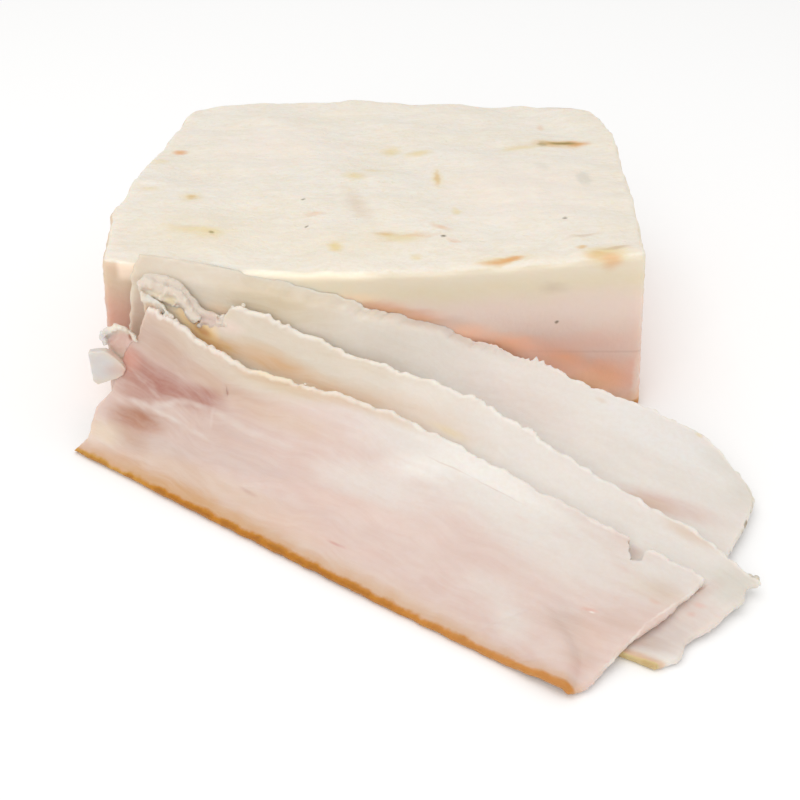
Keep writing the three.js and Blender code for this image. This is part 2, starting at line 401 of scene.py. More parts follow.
slab = {
    "centre": -6.432,            # of the cut face, along X
    "height": 45,
    "leftReach": (66.2, 67.4, 66.4, 63.9, 60.1, 57.7),      # half widths from front to back
    "rightReach": (65.5, 66.6, 67.7, 68.1, 68.2, 64.5),
    "backReach": (94.2, 99.4, 100.8, 98.8, 98.5, 92.5),     # depths from left to right
    "leftFlare": 3.4,
    "rightFlare": 3.2,
    "rim": 1.5,
    "sag": 5.2,
    "sagCentre": -8,
    "sagHalfWidth": 68.8,
    "sagReach": 45,
    "topWaves": ((0.45, 52, 90, 0.4), (0.30, 31, 44, 2.1), (0.18, 90, 17, 4.0)),
    "cuts": ((12, 12), (10, 10), (6, 7)),                   # subdivisions along X, Y and Z, in two passes
    "fibre": {"pitches": (8, 2.0, 6), "height": 0.28},
    "fibreBend": {"pitch": 17, "reach": 1.6},
    "lumps": {"pitch": 7, "height": 0.5},
    "frontWaves": {"pitch": 13, "height": 0.18},
    "sideWaves": {"pitch": 11, "height": 0.6, "from": 22},
    "sideGrain": {"pitches": (3, 3, 1.4), "height": 0.25},
    "nicks": ((-74, 22, 4.5, -0.9), (10, 96, 2.5, 1.3), (49, 93, 1.2, 0.7), (54, 92, 1.1, 0.7),
              (60, 36, 4, 0.6), (61, 68, 3, 0.5)),          # in the outline: x, y, reach and depth
    "crevice": (-0.475, 31.6),   # slope and height of the line where the rear slice leaves the face
    "membrane": 17.4,            # height of the thin seam between the two layers of fat
}


def slabTop(x, y):
    dip = max(0, 1 - ((x - slab["sagCentre"]) / slab["sagHalfWidth"]) ** 2)
    fade = max(0, 1 - y / slab["sagReach"]) ** 2
    z = slab["height"] - slab["sag"] * dip * fade
    for height, pitchX, pitchY, phase in slab["topWaves"]:
        z += height * (1 - fade) * math.sin(2 * math.pi * (x / pitchX + y / pitchY) + phase)
    return z


# across and back run over the cut face and into the slab, up from the rind
def slabPoint(across, back, up, front):
    side = 1 if across > 0 else -1
    reach = through(slab["rightReach"] if across > 0 else slab["leftReach"], back)
    flare = (slab["rightFlare"] if across > 0 else slab["leftFlare"]) * (1 - up)
    depth = through(slab["backReach"], (across + 1) / 2)
    point = Vector((across * (reach + flare), back * depth, 0))
    point.z = up * slabTop(point.x, point.y)

    # Round the top rim and the upright edges
    inside = ((1 - abs(across)) * reach, min(back, 1 - back) * depth, (1 - up) * slab["height"])
    over = Vector([max(0, slab["rim"] - share) for share in inside])
    excess = over * max(0, 1 - slab["rim"] / max(over.length, slab["rim"]))
    point.x += slab["centre"] - side * excess.x
    point.y += front + (excess.y if back < 0.5 else -excess.y)
    point.z -= excess.z
    return point


# Unevenness of the cut fat along its own outward direction
def slabRelief(point, outward):
    fibre, bend, lumps = slab["fibre"], slab["fibreBend"], slab["lumps"]
    drag, waves, grain = slab["frontWaves"], slab["sideWaves"], slab["sideGrain"]
    top = smooth(outward.z, 0.3, 0.9)
    front = smooth(-outward.y, 0.3, 0.9)
    side = smooth(abs(outward.x), 0.3, 0.9) + smooth(outward.y, 0.3, 0.9)
    bent = point + Vector((0, bend["reach"] * noise.noise(point / bend["pitch"]), 0))
    drawn = Vector([c / pitch for c, pitch in zip(bent, fibre["pitches"])])
    strands = noise.fractal(drawn, 0.9, 2.1, 3)
    height = top * (fibre["height"] * strands + lumps["height"] * noise.noise(point / lumps["pitch"]))
    height += front * drag["height"] * noise.noise(point / drag["pitch"])
    wavy = noise.fractal(point / waves["pitch"], 1.0, 2.0, 3)
    height += side * waves["height"] * wavy * smooth(point.y, 0, waves["from"])
    grainy = Vector([c / pitch for c, pitch in zip(point, grain["pitches"])])
    height += side * grain["height"] * noise.noise(grainy)
    for x, y, reach, depth in slab["nicks"]:
        height -= side * depth * math.exp(-((point.x - x) ** 2 + (point.y - y) ** 2) / reach ** 2)
    return height


def cutAlong(obj, axis, passes):
    bpy.ops.object.mode_set(mode="EDIT")
    bpy.ops.mesh.select_mode(type="EDGE")
    for cuts in passes:
        bpy.ops.mesh.select_all(action="DESELECT")
        mesh = bmesh.from_edit_mesh(obj.data)
        for edge in mesh.edges:
            line = edge.verts[1].co - edge.verts[0].co
            edge.select_set(abs(line[axis]) > 0.9 * line.length)
        bmesh.update_edit_mesh(obj.data)
        bpy.ops.mesh.subdivide(number_cuts=cuts)
    bpy.ops.object.mode_set(mode="OBJECT")


def modelSlab():
    bpy.ops.mesh.primitive_cube_add(size=1, location=(0, 0.5, 0.5))
    obj = bpy.context.object
    obj.name = "slab_of_fat"
    onlySelect(obj)
    bpy.ops.object.transform_apply(location=True)
    for axis, passes in enumerate(slab["cuts"]):
        cutAlong(obj, axis, passes)
    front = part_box("slab")[0].y / mm
    rise = obj.data.attributes.new("rise", "FLOAT", "POINT")
    facing = obj.data.attributes.new("facing", "FLOAT", "POINT")
    for i, vertex in enumerate(obj.data.vertices):
        rise.data[i].value = vertex.co.z
        vertex.co = slabPoint(2 * vertex.co.x, vertex.co.y, vertex.co.z, front)
    normals = [n.vector.copy() for n in obj.data.vertex_normals]
    for i, (vertex, outward) in enumerate(zip(obj.data.vertices, normals)):
        facing.data[i].value = smooth(outward.z, 0.35, 0.85)
        vertex.co += outward * slabRelief(vertex.co, outward)
        vertex.co.z = max(0, vertex.co.z)
        vertex.co *= mm
    bpy.ops.object.shade_smooth()
    return obj


# Stains on the top. On the cut face, painted shade and painted glow along the rear slice's top edge, and a
# few marks
slabStainsAndShade = (
    # painted warm shade along the crevice where the rear slice's top edge meets the face: apricot, salmon,
    # amber and caramel
    ("apricot", (-16, -1, 32.6), (14, 5, 3.4), 0.8, 0.2),
    ("salmon", (-5, -1, 29.6), (11, 5, 4.0), 0.7),
    ("amber", (-4, -1, 29.0), (9, 5, 2.4), 0.5),
    ("salmon", (4, -1, 26.4), (11, 5, 4.4), 0.75),
    ("amber", (4, -1, 26), (9, 5, 2.6), 0.4),
    ("caramel", (-8, -1, 31.0), (10, 5, 2.0), 0.28),
    ("caramel", (1, -1, 28.6), (9, 5, 2.4), 0.24),
    # ember and glow are painted light that lifts the shade just over the rear slice's edge; mauve there is
    # painted shade, rose partly the pink fat and partly painted warm shade
    ("ember", (15, -1, 22.4), (12, 5, 5), 0.5),
    ("mauve", (12, -1, 25.6), (8, 5, 3), 0.3),
    ("ember", (26, -1, 18), (12, 5, 6), 0.8, 0.2),
    ("ember", (40, -1, 14.6), (9, 5, 5), 0.8, 0.2),
    ("glow", (36, -1, 12), (14, 5, 6), 0.8, 0.2),
    ("ember", (50, -1, 9), (12, 5, 7), 0.8, 0.2),
    ("glow", (34, -1, 18), (16, 5, 5), 0.45),
    ("rose", (48, -1, 20), (16, 5, 5), 0.5),
    ("lilac", (-74.9, -1, 12), (1.5, 4, 16), 0.8, 0.3),
    ("lilac", (-73.9, -1, 32), (1.4, 4, 12), 0.5, 0.2),
    # painted warm shade at the crevice, low at the right
    ("amber", (46, -1, 7), (12, 5, 4), 0.5),
    ("shell", (60.5, -1, 8), (1.6, 5, 12), 0.5),
    ("mauve", (37.4, -1, 35.8), (5.4, 5, 2.6), 0.3, 0.0),
    ("ivory", (-30, -1, 37), (42, 5, 5), 0.6, 0.2),
    ("dark", (38.8, -1, 26.2), (0.6, 4, 0.6), 0.8, 0.2),
    ("ivory", (-50, 14, 44), (26, 16, 9), 0.45),
    ("ivory", (-14, 10, 42), (30, 12, 9), 0.35),
    ("shell", (34, 36, 45), (30, 26, 9), 0.5, 0.2),
    ("shell", (-36, 66, 45), (26, 24, 9), 0.4, 0.2),
    ("yellow", (-67.3, 53.8, 45), (4, 3, 6), 0.4, 0.0),
    ("yellow", (-67, 35, 45), (5, 2, 6), 0.35, 0.0),
    ("rust", (-62.8, 61.4, 45), (3.2, 1.9, 6), 0.75),
    ("yellow", (-55.2, 31.6, 45), (4.2, 3.4, 6), 0.5),
    ("ochre", (-55.2, 31.6, 45), (2.0, 1.9, 6), 0.6),
    ("yellow", (-52, 15, 44), (11, 2.8, 6), 0.5, 0.0),
    ("yellow", (-48.1, 13.8, 43.5), (4.4, 3.4, 6), 0.5, 0.0),
    ("olive", (-48.1, 13.8, 43.5), (1.1, 1.0, 5), 0.7, 0.2),
    ("dark", (-25.7, 30.2, 44.6), (0.75, 0.85, 5), 0.7, 0.2),
    ("dark", (-24.2, 17.8, 43.3), (0.75, 0.8, 5), 0.7, 0.2),
    ("rust", (-22.6, 22.7, 44), (4.2, 1.5, 5), 0.3, 0.0),
    ("yellow", (-12.6, 43.6, 45), (5.2, 3.6, 6), 0.65, 0.0),
    ("yellow", (-7.9, 48, 45), (4.4, 2.6, 6), 0.45, 0.0),
    ("brown", (-11.6, 27.5, 45), (13, 4.2, 6), 0.32, 0.0, -70),
    ("yellow", (-16.6, 8.9, 42), (2.8, 3.0, 5), 0.8),
    ("ochre", (-4, 14.2, 43), (4.6, 1.9, 5), 0.6),
    ("yellow", (0, 12.6, 43), (9, 3.4, 5), 0.6, 0.0),
    ("rust", (4.5, 13.6, 43), (7.5, 1.5, 5), 0.3, 0.0),
    ("yellow", (-3.2, 61.6, 45), (4.4, 4.2, 6), 0.6),
    ("yellow", (4.7, 59, 45), (6, 3.2, 6), 0.6),
    ("yellow", (9.6, 43.8, 45), (2.6, 8, 6), 0.5, 0.0),
    ("ochre", (9.6, 43.8, 45), (1.3, 6.6, 6), 0.55),
    ("yellow", (14, 25, 44.5), (1.8, 3.2, 6), 0.5),
    ("rust", (10, 16.9, 43.5), (4.6, 1.8, 5), 0.4, 0.0, -28),
    ("dark", (10.8, 12.5, 43), (1.1, 0.7, 5), 0.85, 0.2),
    ("rust", (13.6, 11.1, 43), (3.0, 1.3, 5), 0.35, 0.0, -15),
    ("rust", (41, 79.4, 45), (1.6, 2.4, 6), 0.3, 0.0),
    ("yellow", (33.9, 63.4, 45), (9, 3.0, 6), 0.6, 0.0, 18),
    ("ochre", (45.2, 67.1, 45), (10.5, 4.2, 6), 0.75, 0.2),
    ("rust", (50.4, 67.1, 45), (5, 2.6, 6), 0.7),
    ("olive", (40.4, 66.4, 45), (2.2, 1.9, 6), 0.55, 0.2, 10),
    ("olive", (46.4, 67.4, 45), (6.0, 1.7, 6), 0.9, 0.2),
    ("grey", (49.5, 42.9, 45), (2.7, 5.4, 6), 0.5, 0.4),
    ("grey", (38.6, 50.8, 45), (3.0, 4.4, 6), 0.3),
    ("dark", (41.5, 18.7, 44.5), (1.0, 0.7, 5), 0.7, 0.2, 20),
    ("yellow", (25, 2.0, 42), (10, 2.4, 5), 0.7, 0.1, 8),
    ("rust", (24, 1.6, 42), (8.0, 1.7, 5), 0.6, 0.1, 10),
    ("rust", (27.3, 2.5, 42.5), (3.6, 1.8, 5), 0.6, 0.2, 5),
    ("yellow", (3.5, 4.7, 41.5), (2.4, 1.6, 5), 0.5),
    ("yellow", (50, 1.6, 44.4), (8, 4.2, 5), 0.7),
    ("ochre", (47, 0.6, 44), (4.2, 1.9, 5), 0.5),
    ("rust", (50.8, -0.6, 44.3), (3.8, 2.4, 5), 0.5),
    ("brown", (52.1, 3.1, 44.7), (6.0, 1.1, 5), 0.5, 0.1, 6),
    ("ochre", (44.3, 4.5, 44), (2.0, 1.6, 5), 0.6),
    ("brown", (45.2, 10.2, 44.3), (6.0, 1.0, 5), 0.4, 0.1, 14),
    ("grey", (-66, 95, 45), (12, 4, 7), 0.6),
    ("grey", (52, 94, 45), (12, 4, 7), 0.6),
    ("grey", (-8, 101, 45), (60, 3, 5), 0.4),
    ("brown", (3.5, 97, 45), (5, 2.2, 4), 0.6),
    ("brown", (52, 92, 45), (5, 2, 4), 0.45),
)


def slabMaterial():
    material, tree, shader = fatMaterial("slab_fat", {"depth": 0.6, "reach": 4, "coatRoughness": 0.3})
    coordinates = put(tree, "TexCoord").outputs
    position = vector(tree, "DIVIDE", coordinates["Object"], (mm, mm, mm))
    x, y, z = put(tree, "SeparateXYZ", {0: position}).outputs
    rise = put(tree, "Attribute", attribute_name="rise").outputs["Fac"]
    top = put(tree, "Attribute", attribute_name="facing").outputs["Fac"]
    ragged = useGroup(tree, raggedGroup, {"Position": position, "Pitch": 2.0, "Amount": 2.2})["Position"]
    mottle = useGroup(tree, mottleGroup, {"Position": position, "Cloud": 16.0, "Grain": 1.3})
    fibres = useGroup(tree, fibreGroup, {"Position": position, "Length": 6.0, "Width": 1.7})
    surface = useGroup(tree, cutGroup, {"Position": position, "Grain": 0.4, "Pits": 0.5})

    # From the rind up: salmon fat under the seam, blush over it, cream at the top
    level = calc(tree, "MULTIPLY_ADD", calc(tree, "SUBTRACT", mottle["Clouds"], 0.5), 0.05, rise)
    left = ease(tree, x, -67, -60, 1.0, 0.0)
    seam = calc(tree, "ABSOLUTE", calc(tree, "SUBTRACT", z, slab["membrane"]))
    colour = paint(tree, linear("rose"),
                   (ease(tree, level, 0.3, 0.42), "pink"),
                   (ease(tree, level, 0.42, 0.72), "blush"),
                   (ease(tree, level, 0.7, 0.88), "ivory"),
                   (ease(tree, level, 0.86, 0.98, 0.0, 0.4), "cream"),
                   # the left end is painted tan as painted shade from the slices beside it, with coral laid
                   # over its lower part
                   (product(tree, left, 0.8), "tan"),
                   (product(tree, left, ease(tree, level, 0.6, 0.9, 0.6, 0.0)), "coral"),
                   (ease(tree, top, 0.6, 1.0), "cream"),
                   (ease(tree, seam, 0.1, 0.5, 0.25, 0.0), "ruddy"))

    # Fibres and clouds, strong in the cream of the top and faint on the sides
    share = ease(tree, top, 0.0, 1.0, 0.2, 1.0)
    colour = paint(tree, colour,
                   (product(tree, share, 0.25, mottle["Clouds"]), "ivory"),
                   (product(tree, share, 0.3, fibres["Fibres"]), "white"),
                   (product(tree, share, 0.08, fibres["Strands"]), "brown"),
                   (product(tree, share, 0.12, ease(tree, mottle["Grain"], 0.6, 1.0)), "yellow"))
    colour = addSpots(tree, colour, ragged, slabStainsAndShade)

    rind = useGroup(tree, rindGroup, {"Position": position, "Height": z, "Width": 2.0})
    colour = paint(tree, colour, (product(tree, rind["Glow"], 0.5), "amber"),
                   (rind["Skin"], "rind"), (rind["Dark"], "rindDark"))
    tree.links.new(colour, shader.inputs["Base Color"])

    # Painted glow: emission that stands in for light soaking through the thin rear slice into the fat just
    # over it, and lifts the shade in the crease along the left of the top rim
    over = calc(tree, "SUBTRACT", z, calc(tree, "MULTIPLY_ADD", x, *slab["crevice"]))
    paintedGlow = product(tree, ease(tree, over, -2.5, -0.5), ease(tree, over, 0.5, 6.0, 1.0, 0.0),
                   ease(tree, x, 20, 34), ease(tree, x, 46, 60, 0.13, 0.06), ease(tree, y, 2, 6, 1.0, 0.0))
    rim = product(tree, ease(tree, y, -0.9, 0.2, 1.0, 0.0), ease(tree, z, 37, 40),
                  ease(tree, x, -70, -68), ease(tree, x, -12, -2, 0.3, 0.0))
    paintedGlow = blendTo(tree, calc(tree, "MAXIMUM", paintedGlow, rim), (0, 0, 0, 1), linear("shell"))
    tree.links.new(paintedGlow, shader.inputs["Emission Color"])
    shader.inputs["Emission Strength"].default_value = 1.0
    material.cycles.emission_sampling = "NONE"      # too weak to be aimed at like a lamp

    tree.links.new(ease(tree, mottle["Grain"], 0.0, 1.0, 0.42, 0.6), shader.inputs["Roughness"])
    height = product(tree, calc(tree, "MULTIPLY_ADD", fibres["Strands"], 0.22, surface["Height"]), share)
    height = calc(tree, "MULTIPLY_ADD", mottle["Grain"], 0.15, height)
    bump = put(tree, "Bump", {"Height": height, "Strength": 0.55, "Distance": 0.35 * mm})
    tree.links.new(bump.outputs[0], shader.inputs["Normal"])
    return material


def finishPiece(obj, node, material):
    obj.data.materials.clear()
    obj.data.materials.append(material)
    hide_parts(node)
    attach(obj, "root")
    print(node, "made:", len(obj.data.vertices), "points")


finishPiece(modelSlab(), "slab", slabMaterial())


# The slices. Stations run from the left end to the right end: recline is the angle between the
# floor and the slice, slant shifts the top edge to the right, sag bows it between its edges.
# Run and climb are millimetres on the sheet, along its length and up from its rind.

sheet = {
    "thickness": 2.0,
    "width": 42,                 # that climb is measured on
    "rowsAlong": 420,
    "rowsUp": 76,
    "endCrowding": 0.3,          # how much closer the rows stand at the ends, and at the foot and top
    "edgeCrowding": 0.72,
    "edgeRound": 1.0,            # band over which an edge thins
    "edgeLeast": 0.3,            # share of the thickness left at the very edge
    "tearFrom": 0.58,            # share of the width from which the rows follow the torn edge
    "waves": ((13.4, 0.25, 1), (5.6, 0.2, 2)),              # of the torn edge: length, height, times phase
    "fray": ((2.3, 0.35, 0), (0.85, 0.25, 7)),              # of the torn edge: pitch, height, seed
    "endFray": ((16, 0.3, 3), (45, 0.25, 5)),               # of the two ends: times, height, seed
    "frill": {"pitch": 1.7, "height": 0.45, "from": 0.955},     # of the torn edge, out of the face
    "footFray": {"pitch": 3.1, "height": 0.22},
    "swell": {"pitch": 15, "height": 0.2},
    "cornerRound": (1.75, 0.57),                            # powers of the rounded right corner
    "crumbPitch": 1.1,
    "notchStep": 0.4,            # of the points along a notch, and the noise that frays its walls
    "notchFray": {"pitch": 1.4, "height": 0.5},
    "notchTorn": 0.985,          # torn value of its walls
    "sharpAngle": 55,
}

rearSlice = {
    "name": "slice_rear", "foot": (-71.732, -8.953), "yaw": -25.8, "length": 149.7, "bow": -7.9,
    "recline": (78.9, 57.5, 31.2, 17.7, 2.4),
    "width": (45.9, 41.5, 41.9, 44.4, 44.8),
    "slant": (3.6, 7.5, 3.5, 1.3, 4.5),
    "sag": (0, 0, 0, 1, 1),
    "leftEdge": (0, 0.2, -0.1, 0.3, 0.1, 0),
    "rightEdge": (-0.4, -0.9, -0.8, -0.9, -0.5, 0),
    "corner": (131, 151, 0.7),   # its start and end along the run, and the share of the width at its end
    "phase": 1.3,                # sets the noise of this slice apart
    "tornFrom": 34,              # run at which the edge stops hugging the slab and turns ragged
    "tuck": 3.1,                 # how far the hugging edge turns in, and where along the run this ends
    "tuckEnds": (66, 96),        # the crumbs next are a share of the length, a reach and a height
    "crumbs": ((0.33, 0.03, 0.9), (0.45, 0.02, 0.9), (0.53, 0.03, 0.7), (0.62, 0.03, 1.8),
               (0.72, 0.03, 0.8)),
    "bumps": ((133, 9, 1.7), (107, 7, -1.3), (26, 14, 0.6), (49, 7, -0.5), (64, 5, 1.3),
              (77, 7, 1.0)),     # of the torn edge: run, reach and height
    "notch": None,
    "creases": (),
    "dents": (),
    "rindWidths": (1.0, 1.2, 0.8),      # left, middle and right
    "rindTones": ("gold", "straw"),     # left and right
    "leftTone": "oat", "rightTone": "pearl",
    "turnsAt": (20, 90),         # along the run, from the left tone to the right one
    "spots": (
        ("frost", (126, 37), (26, 9), 0.9, 0.4, -4),
        ("wax", (28, 37), (17, 7), 0.8),
        # painted shade along the face just over the middle slice's torn edge, which leans on it
        ("tan", (14, 24), (26, 7), 0.6),
        ("amber", (27, 27), (14, 5), 0.5, 0.1, -12),
        ("amber", (15, 27), (9, 6), 0.5),
        ("tan", (60, 25), (22, 5), 0.4, 0.1, -10),
        ("flesh", (92, 30), (30, 8), 0.3, 0.1, -10),
        ("flesh", (134, 18.5), (18, 4.5), 0.9, 0.1, 14),
        ("tan", (130, 17), (12, 2.2), 0.5, 0.1, 12),
        ("grey", (147, 33), (6, 8), 0.4),
        ("dark", (150.4, 25.2), (0.6, 1.4), 0.8, 0.3),
        ("apricot", (18, 33.0), (5, 2.4), 0.6),
        ("nude", (2.5, 29), (3, 8), 0.6, 0.2),
        ("grey", (140, 38), (8, 5), 0.3, 0.2),
        ("tan", (111, 38), (2, 1.2), 0.4),
        ("yellow", (125.4, 42.9), (2.6, 1.0), 0.8, 0.2),
        ("yellow", (133.6, 42.6), (1.6, 0.8), 0.5, 0.2),
    ),
    "streaks": (
        # painted shade along the thin walls of the top and right edges, which face away from the light
        ("moss", ((115, 42), (120, 42.6), (126, 43.2), (133, 43.6), (138, 42.2)), 0.6, 0.6),
        ("moss", ((138, 42.2), (142, 40.2), (146, 37), (149, 33.4), (150.8, 28), (150.6, 18)), 0.5, 0.5),
    ),
    "scrapSpots": (),
}
middleSlice = {
    "name": "slice_middle", "foot": (-71.632, -13.953), "yaw": -32.8, "length": 145.0, "bow": 2.2,
    "recline": (72.1, 38.1, 26.2, 14.9, 4.2),
    "width": (42.0, 41.5, 44.3, 40.5, 36.2),
    "slant": (5.6, 8.2, 8.5, 5.4, 10.6),
    "sag": (0, 0, 0, 0, 0),
    "leftEdge": (0, 0.2, -0.2, 0.2, 0.3, 0),
    "rightEdge": (-0.4, -2.3, -0.6, -1.3, -1.5, -1.2, -1.5, 0.0, -0.9),
    "corner": (145.4, 147.3, 0.86), "phase": 3.9, "tornFrom": 0, "tuck": 0, "tuckEnds": (0, 1),
    "crumbs": ((0.16, 0.03, 0.9), (0.24, 0.02, 0.7), (0.35, 0.03, 0.8), (0.5, 0.03, 1.3), (0.62, 0.03, 0.9)),
    "bumps": ((145, 8, -4.3),),
    "notch": ((-3, 46), (-1.5, 44.4), (1.4, 43.0), (4.5, 41.4), (6.9, 39.2), (9.6, 36.3), (11.6, 34.9),
              (12.6, 34.9), (13.7, 35.1), (15.2, 35.6), (16.4, 36.3), (15.7, 37.8), (15.6, 39.4),
              (16.0, 40.9), (17.0, 42.2), (17.4, 46)),
    "creases": (),
    "dents": (),
    "rindWidths": (0.8, 0.8, 0.65),
    "rindTones": ("gold", "straw"),
    "leftTone": "oat", "rightTone": "pearl", "turnsAt": (24, 96),
    "spots": (
        ("ivory", (3.5, 38.5), (8, 6), 0.9, 0.3, -35),
        # painted warm shade in the hollow under the lip; honey is lighter, as painted light that lifts that
        # shade
        ("honey", (8.8, 35.2), (5, 2.4), 0.9, 0.3, -38),
        # amber along climb 31 is painted shade just over the front slice's edge
        ("amber", (14, 31), (9, 4), 0.9, 0.2),
        ("amber", (28, 32), (16, 5), 0.75),
        ("blush", (16.5, 36.4), (5, 2.6), 0.7, 0.2),
        # more painted warm shade under the lip and at the notch
        ("honey", (12, 34.4), (5, 3), 0.7, 0.3, -25),
        ("ochre", (12.8, 33.2), (4.2, 2.0), 0.95, 0.2, -25),
        ("caramel", (12.6, 33.4), (2.4, 1.1), 0.8, 0.2, -25),
        ("ochre", (17.5, 31.6), (4, 1.6), 0.5, 0.1, -15),
        # amber and tan along climb 31 are painted shade just over the front slice's edge
        ("amber", (46, 31), (18, 5), 0.65),
        ("yellow", (29.2, 28), (2.2, 1.6), 0.5, 0.2),
        ("tan", (64, 32), (30, 7), 0.5),
        ("yellow", (74, 32), (8, 1.6), 0.4),
        ("tan", (130, 40), (9, 3), 0.5),
        ("oat", (40, 40.4), (30, 2.6), 0.7, 0.2),
        # painted shade, seen through the tear in the front slice
        ("brownShade", (125.0, 27.4), (2.6, 2.6), 0.35),
        # painted shade beside the right end of the front slice, which lies over it
        ("flesh", (140, 18), (12, 12), 0.5),
        ("coral", (141.2, 21.8), (1.8, 1.4), 0.4, 0.0),
        ("coral", (141.6, 18.4), (1.2, 1.6), 0.35, 0.0),
        # flesh, lilac and mauve here are painted shade under the right end of the front slice
        ("flesh", (138.6, 12), (3, 5), 0.5),
        ("lilac", (141, 9), (14, 9), 0.7),
        ("grey", (144, 33), (9, 9), 0.6, 0.3),
        ("sand", (141, 1.2), (8, 2.0), 0.4),
        ("mauve", (140, 5.4), (7, 4), 0.6, 0.2),
    ),
    "streaks": (                 # shade under the right end of the front slice
        ("flesh", ((140.6, 31), (139.6, 24), (138.4, 17), (138, 8), (139, 1)), 2.6, 0.5),
        ("brownShade", ((139.5, 29), (138.5, 21), (137.4, 10.4), (138.2, 1)), 0.5, 0.6),
    ),
    "scrapSpots": (
        ("ivory", (-59.6, -8.2, 38.4), (5.0, 5, 1.6), 0.8),
        ("yellow", (-55.4, -8.6, 37.0), (2.6, 5, 1.6), 0.5),
        ("flesh", (-46.6, -10, 31.6), (3.4, 5, 3.4), 0.6, 0.3),
        ("grey", (76.1, -70, 4.4), (7, 7, 6), 0.9, 0.6),
    ),
}
